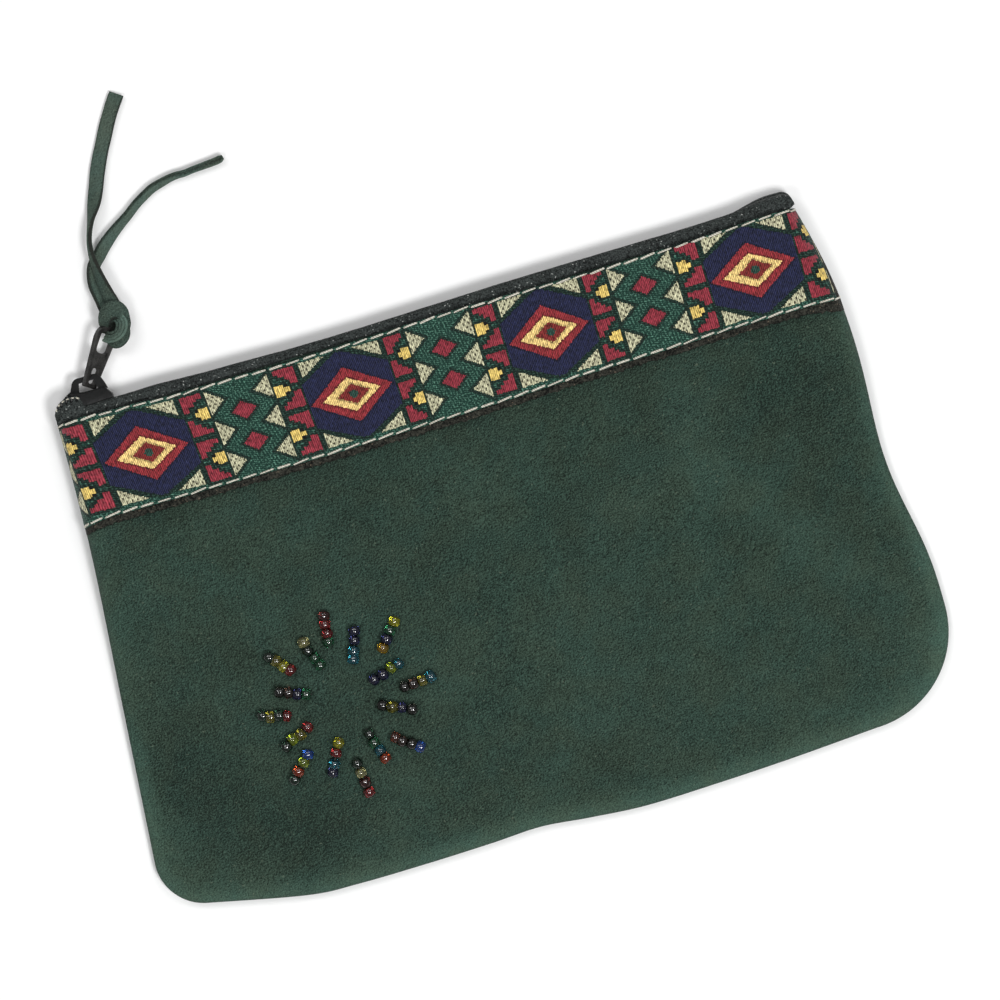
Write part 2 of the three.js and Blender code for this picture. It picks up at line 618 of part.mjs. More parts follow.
function coilHalf(side, shift) {
  const x0 = STOP_X0 + STOP_LENGTH + TOOTH + shift;
  const count = Math.floor((STOP_X1 - x0 - TOOTH_PITCH) / TOOTH_PITCH);
  const across = (near, far) => [near, far].map((offset) => ZIP_Z + side * offset).sort((a, b) => a - b);
  const [spine0, spine1] = across(COIL_REACH - COIL_SPINE, COIL_REACH);
  const [tooth0, tooth1] = across(-TOOTH_OVERLAP, COIL_REACH - COIL_SPINE / 2);
  const low = COIL_TOP - COIL_DEPTH;
  const section = [[low, spine0], [COIL_TOP, spine0], [COIL_TOP, spine1], [low, spine1]];
  const stations = [];
  for (let k = 0; k <= count; k += 1) {
    stations.push(x0 + k * TOOTH_PITCH);
  }
  const straight = (x, y, z) => new THREE.Vector3(x, y, z);
  let coil = solidOf(bentCoil(runSolid(section, stations, straight), side));
  for (let k = 0; k < count; k += 1) {
    const x = x0 + k * TOOTH_PITCH + TOOTH / 2;
    const tooth = block(x, x + TOOTH, low + PLY_GAP, COIL_TOP - PLY_GAP, tooth0, tooth1);
    coil = coil.add(solidOf(bentCoil(tooth, side)));
  }
  return geometryOf(coil);
}

function stop(x, z0, z1, side) {
  return bentCoil(block(x, x + STOP_LENGTH, COIL_TOP - COIL_DEPTH, COIL_TOP, z0, z1), side);
}

function topStop(side) {
  const ends = [-TOOTH_OVERLAP, COIL_REACH].map((offset) => ZIP_Z + side * offset);
  return stop(STOP_X0, Math.min(...ends), Math.max(...ends), side);
}

function bottomStop() {
  return stop(STOP_X1, ZIP_Z - COIL_REACH, ZIP_Z + COIL_REACH, 0);
}

add('zip_tape_front', tapeHalf(1), 0x2b2b2b, 0.9);
add('zip_tape_back', tapeHalf(-1), 0x2b2b2b, 0.9);
add('zip_coil_front', coilHalf(1, 0), 0x1c1c1c, 0.5);
add('zip_coil_back', coilHalf(-1, TOOTH_PITCH / 2), 0x1c1c1c, 0.5);
add('zip_top_stop_front', topStop(1), 0x1c1c1c, 0.4, 0.8);
add('zip_top_stop_back', topStop(-1), 0x1c1c1c, 0.4, 0.8);
add('zip_bottom_stop', bottomStop(), 0x1c1c1c, 0.4, 0.8);

// Slider: two plates with side flanges, a post between the coils and a bridge on top

function sliderOutline(inset) {
  const half = SLIDER_LENGTH / 2;
  const wide = SLIDER_HALF - inset;
  const tail = SLIDER_TAIL - inset;
  const shape = new THREE.Shape();
  shape.moveTo(SLIDER_X - half, ZIP_Z - wide + SLIDER_PLATE);
  shape.quadraticCurveTo(SLIDER_X - half, ZIP_Z - wide, SLIDER_X - half + SLIDER_PLATE, ZIP_Z - wide);
  shape.lineTo(SHOULDER_X, ZIP_Z - wide);
  shape.lineTo(TAIL_X, ZIP_Z - tail);
  shape.lineTo(SLIDER_X + half, ZIP_Z - tail);
  shape.lineTo(SLIDER_X + half, ZIP_Z + tail);
  shape.lineTo(TAIL_X, ZIP_Z + tail);
  shape.lineTo(SHOULDER_X, ZIP_Z + wide);
  shape.lineTo(SLIDER_X - half + SLIDER_PLATE, ZIP_Z + wide);
  shape.quadraticCurveTo(SLIDER_X - half, ZIP_Z + wide, SLIDER_X - half, ZIP_Z + wide - SLIDER_PLATE);
  return shape;
}

function bridgeShape() {
  const half = BRIDGE_LENGTH / 2;
  const top = PLATE_FACE + BRIDGE_FOOT + BRIDGE_WINDOW + BRIDGE_BAR;
  const shape = new THREE.Shape();
  shape.moveTo(SLIDER_X - half, PLATE_FACE - PLY_GAP);
  shape.lineTo(SLIDER_X + half, PLATE_FACE - PLY_GAP);
  shape.bezierCurveTo(
    SLIDER_X + half - BRIDGE_BAR / 2, top - BRIDGE_BAR, SLIDER_X + half - BRIDGE_BAR, top,
    SLIDER_X + half - 2 * BRIDGE_BAR, top);
  shape.lineTo(SLIDER_X - half + 2 * BRIDGE_BAR, top);
  shape.bezierCurveTo(
    SLIDER_X - half + BRIDGE_BAR, top, SLIDER_X - half + BRIDGE_BAR / 2, top - BRIDGE_BAR,
    SLIDER_X - half, PLATE_FACE - PLY_GAP);
  const floor = PLATE_FACE + BRIDGE_FOOT;
  const window = new THREE.Path();
  window.moveTo(SLIDER_X - BRIDGE_SPAN / 2, floor);
  window.lineTo(SLIDER_X - BRIDGE_SPAN / 2 + BRIDGE_BAR / 3, floor + BRIDGE_WINDOW);
  window.lineTo(SLIDER_X + BRIDGE_SPAN / 2 - BRIDGE_BAR / 3, floor + BRIDGE_WINDOW);
  window.lineTo(SLIDER_X + BRIDGE_SPAN / 2, floor);
  shape.holes.push(window);
  return shape;
}

function domeShape() {
  const half = SLIDER_LENGTH / 2;
  const top = half - PLATE_SLOPE;
  const rim = PLATE_BASE + PLATE_RIM;
  return shapeOf([
    [SLIDER_X - half, PLATE_BASE], [SLIDER_X + half, PLATE_BASE], [SLIDER_X + half, rim],
    [SLIDER_X + top, PLATE_FACE], [SLIDER_X - top, PLATE_FACE], [SLIDER_X - half, rim]]);
}

function slider() {
  const tapeSlot = FOLD_Y - TAPE - RUN_CLEAR; // top of the lower flanges
  const half = SLIDER_LENGTH / 2;
  const dome = solidOf(prism(domeShape(), ZIP_Z - SLIDER_HALF, ZIP_Z + SLIDER_HALF));
  const upper = solidOf(slab(sliderOutline(0), PLATE_BASE, PLATE_FACE)).intersect(dome);
  const lower = solidOf(slab(sliderOutline(0), CAVITY_FLOOR - SLIDER_PLATE, tapeSlot));
  const channel = solidOf(slab(sliderOutline(SLIDER_WALL), CAVITY_FLOOR, tapeSlot + OVERSHOOT));
  const mouths = solidOf(block(
    SLIDER_X - half - OVERSHOOT, SLIDER_X - half + SLIDER_PLATE, CAVITY_FLOOR, tapeSlot + OVERSHOOT,
    ZIP_Z - SLIDER_HALF + SLIDER_WALL, ZIP_Z + SLIDER_HALF - SLIDER_WALL));
  const tailMouth = solidOf(block(
    SLIDER_X + half - SLIDER_PLATE, SLIDER_X + half + OVERSHOOT, CAVITY_FLOOR, tapeSlot + OVERSHOOT,
    ZIP_Z - SLIDER_TAIL + SLIDER_WALL, ZIP_Z + SLIDER_TAIL - SLIDER_WALL));
  const postShape = shapeOf(diamond(POST_X, ZIP_Z, POST_LENGTH / 2, POST_HALF));
  const post = solidOf(slab(postShape, CAVITY_FLOOR - PLY_GAP, PLATE_BASE + PLY_GAP));
  const bridge = solidOf(prism(bridgeShape(), ZIP_Z - BRIDGE_DEPTH / 2, ZIP_Z + BRIDGE_DEPTH / 2));
  const trough = lower.subtract(channel).subtract(mouths).subtract(tailMouth);
  return geometryOf(upper.add(trough).add(post).add(bridge));
}

add('zip_slider', slider(), 0x202020, 0.45, 0.6);

// Pull tab, drawn flat along its length from the hinge, then leant and twisted

function windowPath(x0, x1, half) {
  const path = new THREE.Path();
  const round = Math.min(half, (x1 - x0) / 2) * WINDOW_ROUND;
  path.moveTo(x0, -half + round);
  path.quadraticCurveTo(x0, -half, x0 + round, -half);
  path.lineTo(x1 - round, -half);
  path.quadraticCurveTo(x1, -half, x1, -half + round);
  path.lineTo(x1, half - round);
  path.quadraticCurveTo(x1, half, x1 - round, half);
  path.lineTo(x0 + round, half);
  path.quadraticCurveTo(x0, half, x0, half - round);
  return path;
}

// The tab, or with some growth the space that it needs in the knot.
function tabGeometry(growth) {
  const start = -TAB_BAR / 2 - growth;
  const end = TAB_LENGTH - TAB_BAR / 2 + growth;
  const neck = TAB_NECK / 2 + growth;
  const head = TAB_HEAD / 2 + growth;
  const shape = new THREE.Shape();
  shape.moveTo(start, -neck + TAB_BAR / 2);
  shape.quadraticCurveTo(start, -neck, start + TAB_BAR / 2, -neck);
  shape.lineTo(end - head, -head);
  shape.quadraticCurveTo(end, -head, end, 0);
  shape.quadraticCurveTo(end, head, end - head, head);
  shape.lineTo(start + TAB_BAR / 2, neck);
  shape.quadraticCurveTo(start, neck, start, neck - TAB_BAR / 2);
  const bailEnd = TAB_BAR / 2 + BAIL_WINDOW;
  const faceEnd = bailEnd + TAB_FACE;
  const tipEnd = TAB_LENGTH - TAB_BAR / 2 - TAB_END;
  shape.holes.push(windowPath(TAB_BAR / 2 + growth, bailEnd - growth, BAIL_WIDTH / 2 - growth));
  shape.holes.push(windowPath(faceEnd + growth, tipEnd - growth, TAB_NECK / 2 - growth));
  return prism(shape, -TAB_PLATE / 2 - growth, TAB_PLATE / 2 + growth, 4);
}

function hung(geometry) {
  geometry.rotateX(Math.PI / 2 - degToRad(TAB_TWIST));
  geometry.rotateZ(degToRad(TAB_LEAN));
  return geometry.translate(HINGE.x, HINGE.y, HINGE.z);
}

add('zip_pull_tab', hung(tabGeometry(0)), 0x262626, 0.4, 0.6);

// Lace: a knot hitched round the tab's end, and two flat tails

function knot() {
  const ball = new THREE.SphereGeometry(0.5, 14, 10).rotateX(Math.PI / 2);
  ball.scale(...KNOT);
  ball.translate(KNOT_AT.x, KNOT_AT.y, KNOT_AT.z);
  return geometryOf(solidOf(ball).subtract(solidOf(hung(tabGeometry(KNOT_CLEAR)))));
}

// A flat strip that keeps its face up along the route.
function laceTail(route) {
  const end = KNOT_AT.y + KNOT[1] / 2;
  const path = new THREE.CatmullRomCurve3(
    route.map(([x, y, lift]) => new THREE.Vector3(KNOT_AT.x + x, end + y, LIE_Z + lift)));
  const thick = LACE_THICK / 2;
  const wide = LACE_WIDTH / 2;
  const edge = wide - thick / 2;
  const section = [
    [-wide, -thick / 2], [-edge, -thick], [edge, -thick], [wide, -thick / 2],
    [wide, thick / 2], [edge, thick], [-edge, thick], [-wide, thick / 2]];
  const up = new THREE.Vector3(0, 0, 1);
  const rings = [];
  const steps = 2 * route.length;
  for (let k = 0; k <= steps; k += 1) {
    const along = path.getTangent(k / steps);
    const across = up.clone().cross(along).normalize();
    const above = along.clone().cross(across);
    const spot = path.getPoint(k / steps);
    rings.push(section.map(([u, v]) => spot.clone().addScaledVector(across, u).addScaledVector(above, v)));
  }
  return ringSolid(rings, section);
}

add('lace_knot', knot(), 0x3d5a4b, 0.95);
add('lace_tail_left', laceTail(LEFT_TAIL), 0x3d5a4b, 0.95);
add('lace_tail_right', laceTail(RIGHT_TAIL), 0x3d5a4b, 0.95);

// Bead strings of the sunburst, each lying on the front panel

function stringGeometry() {
  const waist = BEAD_WAIST * BEAD_RADIUS;
  const turnIn = (1 - BEAD_FLAT) / 2;
  const profile = [new THREE.Vector2(0, 0), new THREE.Vector2(waist, 0)];
  for (let k = 0; k < BEADS; k += 1) {
    profile.push(new THREE.Vector2(BEAD_RADIUS, (k + turnIn) * BEAD_LENGTH));
    profile.push(new THREE.Vector2(BEAD_RADIUS, (k + 1 - turnIn) * BEAD_LENGTH));
    profile.push(new THREE.Vector2(waist, (k + 1) * BEAD_LENGTH));
  }
  profile.push(new THREE.Vector2(0, BEADS * BEAD_LENGTH));
  return new THREE.LatheGeometry(profile, 7).translate(0, -BEADS * BEAD_LENGTH / 2, 0);
}

function beadColor(index) {
  return [0x8c1d24, 0x1f5c3f, 0xc8a62a, 0x1c2f6e][index % 4];
}

for (let k = 0; k < STRINGS; k += 1) {
  const [turn, out, lean] = SEWING[k % SEWING.length];
  const angle = degToRad(BURST_START + (360 / STRINGS) * k + turn);
  const radius = (k % 2 === 0 ? OUTER_RING : INNER_RING) + out;
  const x = BURST[0] + radius * Math.cos(angle);
  const y = BURST[1] + radius * Math.sin(angle);
  const heading = angle + degToRad(lean);
  const half = BEADS * BEAD_LENGTH / 2;
  const ends = [-half, half].map((reach) => {
    const endX = x + reach * Math.cos(heading);
    const endY = y + reach * Math.sin(heading);
    return new THREE.Vector3(endX, endY, frontFace(endX, endY) + BEAD_RADIUS + BEAD_SEAT);
  });
  const along = ends[1].clone().sub(ends[0]).normalize();
  const name = `bead_string_${String(k + 1).padStart(2, '0')}`;
  const string = add(name, stringGeometry(), beadColor(k), 0.15);
  string.quaternion.setFromUnitVectors(new THREE.Vector3(0, 1, 0), along);
  string.position.copy(ends[0]).lerp(ends[1], 0.5);
}

export default pouch;
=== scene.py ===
import math

import bmesh
import bpy
import numpy as np
from mathutils import Matrix, Vector


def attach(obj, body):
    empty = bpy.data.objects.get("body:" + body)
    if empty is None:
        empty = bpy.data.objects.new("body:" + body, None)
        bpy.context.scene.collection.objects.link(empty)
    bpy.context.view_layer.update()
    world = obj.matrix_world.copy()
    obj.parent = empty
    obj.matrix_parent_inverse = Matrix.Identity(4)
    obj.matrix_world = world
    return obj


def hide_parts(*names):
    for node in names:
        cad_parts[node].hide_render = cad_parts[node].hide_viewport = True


# Flat suede pouch on its back: +X along the zip, +Y to the zip, +Z up. Sizes are in millimetres
# until a mesh is made, and the meshes are in metres.

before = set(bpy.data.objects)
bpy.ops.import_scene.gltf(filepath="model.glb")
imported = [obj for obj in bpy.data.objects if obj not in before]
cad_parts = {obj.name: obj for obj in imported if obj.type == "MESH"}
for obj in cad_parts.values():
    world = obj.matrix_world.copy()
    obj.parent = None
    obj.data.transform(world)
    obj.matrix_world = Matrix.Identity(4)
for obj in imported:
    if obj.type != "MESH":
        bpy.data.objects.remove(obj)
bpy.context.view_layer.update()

MM = 0.001

# Outline of the body
TOP_WIDTH = 183.0
FOOT_WIDTH = 198.6
FOLD_Y = 64.25
BOTTOM_Y = -64.25
PANEL_TOP = 61.25
LEFT_CORNER = 12.0
RIGHT_CORNER = 23.8
LEFT_CENTRE_Y = BOTTOM_Y + 6.5 + LEFT_CORNER
RIGHT_CENTRE_Y = BOTTOM_Y + 1.5 + RIGHT_CORNER
# Bow and shorter waves of the sides, to the right: heights of one, two, three half waves and on
LEFT_WAVES = [0.93, 0.33, 0.09]
RIGHT_WAVES = [0.95, 1.47, 0.77, -0.42, 0.19]
BOTTOM_SLACK = [
    (0.145, 1.75), (0.22, 0.9), (0.325, 0.85), (0.42, 1.15), (0.495, 1.6), (0.568, 0.35), (0.65, -0.7),
    (0.76, -0.42), (0.87, 0.25)]

# Layers
SUEDE = 1.1
ZIP_Z = 5.1
ZIP_THICKNESS = 10.2
BELLY = 10.8
EDGE_THICKNESS = 5.0
SEAM_ROLL = 3.5
DOME_REACH = 34.0
SETTLE = 44.0
PLY_GAP = 0.1

# Trim
RIBBON_TOP = 61.45
RIBBON_BOTTOM = 36.45
RIBBON_FACE = 11.4
RIBBON_PROUD = 0.1  # of the side seams
RIBBON_THICK = 0.5
RIBBON_TUCK = 1.1  # how far its lower right corner is drawn in
STRIP_BOTTOM = 33.95
STRIP_FACE = 10.7
STRIP_PROUD = 0.03
STRIP_THICK = 0.4
STRIP_STEP = 0.5
STRIP_EDGE = 34.75
STRIP_SHOWN = 2.2  # below the lower row of stitches
REPEAT = 50.2
PICK = 0.42  # width of one weft yarn
# Weave: where its places lie along the zip, the height of its middle row, and how far it leans
WEAVE_PLACES = [
    (-98, -22.4), (-93.5, -18.6), (-91.6, -16.4), (-88.8, -13.95), (-84, -10.75), (-61.95, 10.75),
    (-55.6, 16.4), (-47.62, 25.1), (-39.1, 33.8), (-32.75, 39.45), (-11.4, 60.95), (-6.1, 66.6), (2, 75.3),
    (10.5, 84), (16.6, 89.65), (37.75, 111.15), (43.55, 116.8), (52.15, 125.5), (60.6, 134.2), (67, 139.85),
    (89.2, 161.35), (95, 167), (100, 172)]
WEAVE_ROW = [
    (-93, 50.35), (-83.4, 50.05), (-72.5, 49.75), (-62.4, 49.25), (-47.6, 49.1), (-22, 49.25),
    (-12.8, 49.25), (2, 49.7), (17, 49.85), (27.7, 50), (37, 49.95), (52.2, 50.4), (67.5, 50.3),
    (78.7, 50.45), (96, 50.5)]
WEAVE_LEAN = [(-96, -0.105), (-73, -0.1), (-22, -0.06), (10, -0.01), (96, 0)]
STITCH_INSET = 0.95
# How far the sewn trim wanders from straight: places along it, and rises or heights there
FOLD_DRIFT = [
    (-92, 0.3), (-66, 0.4), (-54, -0.1), (-36, -0.45), (-24, -0.6), (-6, -0.3), (18, 0.15), (44, 0.27),
    (66, 0.29), (76, 0.44), (92, 0.3)]
UPPER_ROW = [
    (-92, 61.65), (-86, 61.9), (-80, 61.6), (-72, 61.4), (-66, 60.9), (-48, 60.75), (-38, 60.5),
    (-25, 60.7), (-10, 60.8), (-4, 61.1), (8, 61.2), (25, 60.95), (42, 60.75), (52, 60.8), (62, 60.95),
    (70, 61.15), (78, 61.45), (84, 61.65), (92, 61.5)]
LOWER_ROW = [
    (-93, 36.95), (-89, 37.65), (-86, 37.95), (-76, 37.8), (-66, 37.6), (-55, 37.5), (-46, 37.35),
    (-30, 37.25), (-10, 37.45), (2, 37.5), (10, 37.65), (30, 38.15), (42, 38.35), (57, 38.45), (65, 38.65),
    (78, 38.8), (90, 38.7), (96, 38.4)]
HEM_BEYOND = 0.42

# Camera over the pouch
EYE_X = 4.5
EYE_Y = 15.0
EYE_HEIGHT = 1200.0
EYE_LEVEL = 7.0  # height at which the picture's scale is set
PICTURE_WIDTH = 238.1
PICTURE_TURN = 16.5
SENSOR = 36.0
TRIM_LEVEL = 14.0
NEARER = (EYE_HEIGHT - EYE_LEVEL) / (EYE_HEIGHT - TRIM_LEVEL)  # for what lies as high as the ribbon

# Zip
TAPE_X0 = -91.3
TAPE_X1 = 91.6
TAPE_LEG = 3.65  # middle of the tape's leg from the zip's middle
TAPE_HALF = 0.25
TAPE_SPLIT = 0.7
TAPE_DROP = 12.0
TAPE_INSIDE = 8.0  # of it stays put where the tape stands open
TIP_LENGTH, TIP_DROP = 2.6, 2.2  # rounded corner at the tapes' right end
FOLD_BEND = 1.15
HUMP = 2.3
HUMP_FRONT = 0.35
HUMP_LENGTH = 18.0
HUMP_RUN = 13.0
COIL_TOP = 63.65
COIL_DEPTH = 1.8
COIL_REACH = 1.65
COIL_PITCH = 1.3
COIL_WIRE = 0.3
COIL_STEPS = 12  # points to a turn
COIL_X0, COIL_X1 = -83.6, 85.0
# Where the tapes begin to stand open, and their edges beyond it
OPEN_X0, OPEN_X1 = -84.7, -83.1
OPEN_COIL_X, OPEN_COIL_LENGTH = -90.2, 5.2
OPEN_SEAM_X0, OPEN_SEAM_X1 = -90.5, -84.9
FRONT_FLAP = [
    (-91.3, 64.2), (-91.1, 64.7), (-90.3, 66.1), (-89.2, 66.95), (-88, 67.4), (-86.6, 67.5), (-85.2, 67.3),
    (-84.2, 66.6), (-83, 65.4)]
BACK_FLAP = [
    (-91.3, 64.6), (-91.1, 65.2), (-90.4, 66.5), (-89.5, 67.3), (-88, 68.25), (-86.9, 68.85), (-85.8, 68.6),
    (-84.4, 67.2), (-83, 65.4)]

# Lace
LACE_THICK = 1.2
KNOT_MIDDLE = (-71.6, 81.2)

# Beads
BEAD_LENGTH = 2.2
BEAD_RADIUS = 1.45
BEAD_SEAT = 0.05
BEAD_HOLE = 0.42
BEAD_SIZES = (0.93, 1.04)
BEAD_TILT = 0.16
BEAD_STRAY = 0.12
BEAD_CLEAR = 0.86  # share of the light that goes through
THREAD_REACH = 1.6  # from the end beads to where the thread goes in
THREAD_SINK = 0.5


def rgb(red, green, blue):
    """A display colour from 0 to 255 as linear light."""
    parts = [c / 255 for c in (red, green, blue)]
    return tuple(c / 12.92 if c <= 0.04045 else ((c + 0.055) / 1.055) ** 2.4 for c in parts)


def lerp(a, b, share):
    return a + (b - a) * share


def ease(x, low, high):
    share = np.clip((x - low) / (high - low), 0, 1)
    return share * share * (3 - 2 * share)


def bell(distance, width):
    return np.exp(-(distance / width) ** 2)


def unit(rows):
    """Directions made one long."""
    return rows / np.linalg.norm(rows, axis=-1, keepdims=True)


def run_along(line):
    """How far each point of a line lies from its start, along it."""
    return np.concatenate([[0], np.cumsum(np.linalg.norm(np.diff(line, axis=0), axis=1))])


def ripple(x, y, size, seed):
    """Smooth waves of about one size in many directions, between about -1 and 1."""
    draw = np.random.default_rng(seed)
    total = np.zeros(np.broadcast(x, y).shape)
    for _ in range(9):
        turn = draw.uniform(0, 2 * math.pi)
        length = size * draw.uniform(0.7, 1.5)
        phase = draw.uniform(0, 2 * math.pi)
        total = total + np.sin(2 * math.pi * (x * math.cos(turn) + y * math.sin(turn)) / length + phase)
    return total / 4.5


def half_waves(heights, share):
    return sum(height * np.sin((k + 1) * np.pi * share) for k, height in enumerate(heights))


def drift(table, x, blur=1.8):
    """A smooth line through a table of places and rises."""
    place, rise = np.array(table, float).T
    x = np.asarray(x, float)
    total = np.zeros(x.shape)
    weight = np.zeros(x.shape)
    for k in range(-4, 5):
        w = math.exp(-(k / 2.0) ** 2)
        total = total + w * np.interp(x + blur * k / 2, place, rise)
        weight = weight + w
    return total / weight


def seen(x, middle):
    """Where a place on the ribbon shows at the middle height of the pouch, to a camera over that middle."""
    return middle + (x - middle) * NEARER


def sewn_line(table, x):
    """Height of a sewn line along the ribbon."""
    return EYE_Y + (drift(table, seen(x, EYE_X)) - EYE_Y) / NEARER


# Node trees

class Wire:
    """One output socket. Python operators on it add Math nodes."""

    def __init__(self, socket):
        self.socket = socket

    def maths(self, operation, *values):
        node = self.socket.id_data.nodes.new("ShaderNodeMath")
        node.operation = operation
        for place, value in zip(node.inputs, values):
            plug(place, value)
        return Wire(node.outputs[0])

    def pick(self, name):
        """Another output of the same node."""
        return Wire(self.socket.node.outputs[name])

    def __add__(self, other):
        return self.maths("ADD", self, other)

    def __sub__(self, other):
        return self.maths("SUBTRACT", self, other)

    def __rsub__(self, other):
        return self.maths("SUBTRACT", other, self)

    def __mul__(self, other):
        return self.maths("MULTIPLY", self, other)

    def __truediv__(self, other):
        return self.maths("DIVIDE", self, other)

    def __pow__(self, other):
        return self.maths("POWER", self, other)

    def __abs__(self):
        return self.maths("ABSOLUTE", self)

    def __lt__(self, other):
        return self.maths("LESS_THAN", self, other)

    def __gt__(self, other):
        return self.maths("GREATER_THAN", self, other)

    __radd__ = __add__
    __rmul__ = __mul__


def floor(x):
    return x.maths("FLOOR", x) if isinstance(x, Wire) else np.floor(x)


def wave(x):
    return x.maths("SINE", x) if isinstance(x, Wire) else np.sin(x)


def plug(place, value):
    """Links an input to a wire, or sets its value."""
    if isinstance(value, Wire):
        place.id_data.links.new(value.socket, place)
    elif place.type == "RGBA" and len(value) == 3:
        place.default_value = (*value, 1.0)
    else:
        place.default_value = value


class Tree:
    """A node tree that grows by one method."""

    def __init__(self, tree):
        self.tree = tree
        tree.nodes.clear()

    def node(self, kind, settings=None, sockets=None, out=0):
        """A new node: its settings first, then the values or links of its sockets. Gives one output."""
        node = self.tree.nodes.new(kind)
        for key, value in (settings or {}).items():
            setattr(node, key, value)
        for key, value in (sockets or {}).items():
            plug(node.inputs[key], value)
        return Wire(node.outputs[out]) if len(node.outputs) else None

    def vector(self, x=0.0, y=0.0, z=0.0):
        return self.node("ShaderNodeCombineXYZ", {}, {0: x, 1: y, 2: z})


class Finish(Tree):
    """A material whose surface is one Principled shader."""

    def __init__(self, name):
        self.material = bpy.data.materials.new(name)
        self.material.use_nodes = True
        super().__init__(self.material.node_tree)

    def place(self, kind="Object"):
        return self.node("ShaderNodeTexCoord", out=kind)

    def noise(self, place, size, detail=2.0, rough=0.5):
        """Noise with features of about one size in millimetres."""
        sockets = {"Vector": place, "Scale": 1 / (size * MM), "Detail": detail, "Roughness": rough}
        return self.node("ShaderNodeTexNoise", {}, sockets)

    def split(self, place):
        """The three parts of a place."""
        spot = self.node("ShaderNodeSeparateXYZ", {}, {0: place})
        return [spot.pick(axis) for axis in "XYZ"]

    def carried(self, name, out="Fac"):
        """A value or a colour that the points of the mesh carry."""
        return self.node("ShaderNodeAttribute", {"attribute_name": name}, {}, out)

    def mix(self, share, a, b):
        settings = {"data_type": "RGBA", "clamp_factor": True}
        return self.node("ShaderNodeMix", settings, {0: share, 6: a, 7: b}, out=2)

    def lit(self, color, level):
        """A colour made lighter or darker by a value."""
        return self.node("ShaderNodeVectorMath", {"operation": "SCALE"}, {0: color, "Scale": level})

    def held(self, value, low, high, to_low=0.0, to_high=1.0):
        """A value between two limits, stretched to reach between two others."""
        sockets = {0: value, 1: low, 2: high, 3: to_low, 4: to_high}
        return self.node("ShaderNodeMapRange", {"clamp": True}, sockets)

    def bump(self, height, distance, strength=1.0):
        """A normal from a height, with the full height's distance in millimetres."""
        sockets = {"Height": height, "Distance": distance * MM, "Strength": strength}
        return self.node("ShaderNodeBump", {}, sockets)

    def surface(self, **sockets):
        """The material, with values or wires on the shader's sockets."""
        named = {key.replace("_", " "): value for key, value in sockets.items()}
        shader = self.node("ShaderNodeBsdfPrincipled", {}, named)
        self.node("ShaderNodeOutputMaterial", {}, {"Surface": shader})
        return self.material


# Finishes

def suede_finish(name, tint, grain, patches):
    """Napped leather: fine raised grain with a painted emboss lit from one side, cloudy patches, and the tone
    shift that its points carry, which holds wear and painted light and shade.
    """
    f = Finish(name)
    place = f.place()
    # A copy of the fibre noise shifted a little towards the lower right: the fibre minus this copy is a
    # painted emboss, as if lit from one side.
    aside = f.node("ShaderNodeVectorMath", {"operation": "ADD"}, {0: place, 1: (0.00012, -0.00014, 0.0)})
    nap = f.noise(place, 0.34, 1.0, 0.5)
    fibre = f.noise(place, 0.5, 2.0, 0.7)
    shifted_fibre = f.noise(aside, 0.5, 2.0, 0.7)
    tuft = f.noise(place, 2.4, 2.0)
    cloud = f.noise(place, 15.0, 3.0, 0.62)
    hue = f.noise(place, 9.0, 2.0)
    # The points carry a tone shift. On the panels it holds wear, painted light on the rolled rims and along a
    # fold, and painted shadow below the trim; on the lace it holds painted light and shade on the faces and
    # darker cut edges.
    worn = f.carried("worn")
    pile_and_painted_emboss = 0.8 * (nap - 0.5) + 0.75 * (fibre - shifted_fibre) + 0.5 * (fibre - 0.5)
    tone = 0.97 + grain * pile_and_painted_emboss + 0.4 * (tuft - 0.5) + patches * (cloud - 0.5) + worn
    tone = f.held(tone, 0.3, 4.0, 0.3, 4.0)
    warm = tuple(np.multiply(tint, (1.05, 0.99, 0.96)))
    cool = tuple(np.multiply(tint, (0.95, 1.01, 1.03)))
    dye = f.mix(f.held(hue, 0.38, 0.62), cool, warm)
    fleck = f.held(f.noise(place, 0.7, 1.0), 0.7, 0.78)
    color = f.mix(0.4 * fleck, f.lit(dye, tone), rgb(112, 124, 106))
    # Where the tone shift falls below -0.4 the colour turns dark brown: on the lace's cut edges this is
    # partly their own colour and partly painted shade, and over the fold behind the knot it is painted shade.
    cut = f.held(worn, -0.4, -0.75)
    color = f.mix(0.75 * cut, color, f.lit(rgb(44, 43, 40), 0.55 + 0.9 * fibre))
    bump = f.bump(0.5 * nap + 1.2 * fibre + 0.9 * tuft, 0.11 * grain, 1.0)
    return f.surface(
        Base_Color=color, Roughness=0.84 + 0.14 * fibre, Normal=bump, Sheen_Weight=0.08, Sheen_Roughness=0.6,
        Sheen_Tint=(*rgb(150, 180, 165), 1.0), Specular_IOR_Level=0.12)


# Woven figures, by their places along and across the ribbon from the middle of a medallion
MEDALLION = (10.75, 10.6)  # half its length and height
MEDALLION_SLANT, MEDALLION_TIP = 0.517, 11.0
DIAMOND_MIDDLE, HEART_MIDDLE = -0.15, 0.4
RED_DIAMOND, GOLD_DIAMOND, HEART, DOT = (10.06, 6.8), (7.1, 4.15), (4.0, 2.5), (1.06, 0.94)
CORNER_AT, CORNER = (10.0, 10.7), (6.5, 3.8)
CELLS = (11.2, 15.8)
CELL_UPPER, CELL_LOWER = (6.6, 10.6), (0.75, 4.7)
CELL_STEPS = ((12.7, 1.3), (13.8, 0.9), (14.8, 0.7))
BLOCK_ALONG, BLOCK_ACROSS = (14.3, 16.4), (4.25, 7.0)
ARM_ALONG, ARM_ACROSS = (13.45, 14.35), (5.05, 6.2)
FLAG_FOOT, FLAG, FLAG_ROWS = 17.0, (4.2, 2.9), (0.0, 7.65)
LOZENGE_AT, LOZENGE = (25.1, 3.95), (3.15, 2.28)


def between(x, low, high):
    return (x > low) * (x < high)


def diamond(a, b, half, grow):
    """Inside a diamond, by its half length and height."""
    return a / half[0] + b / half[1] < 1 + grow


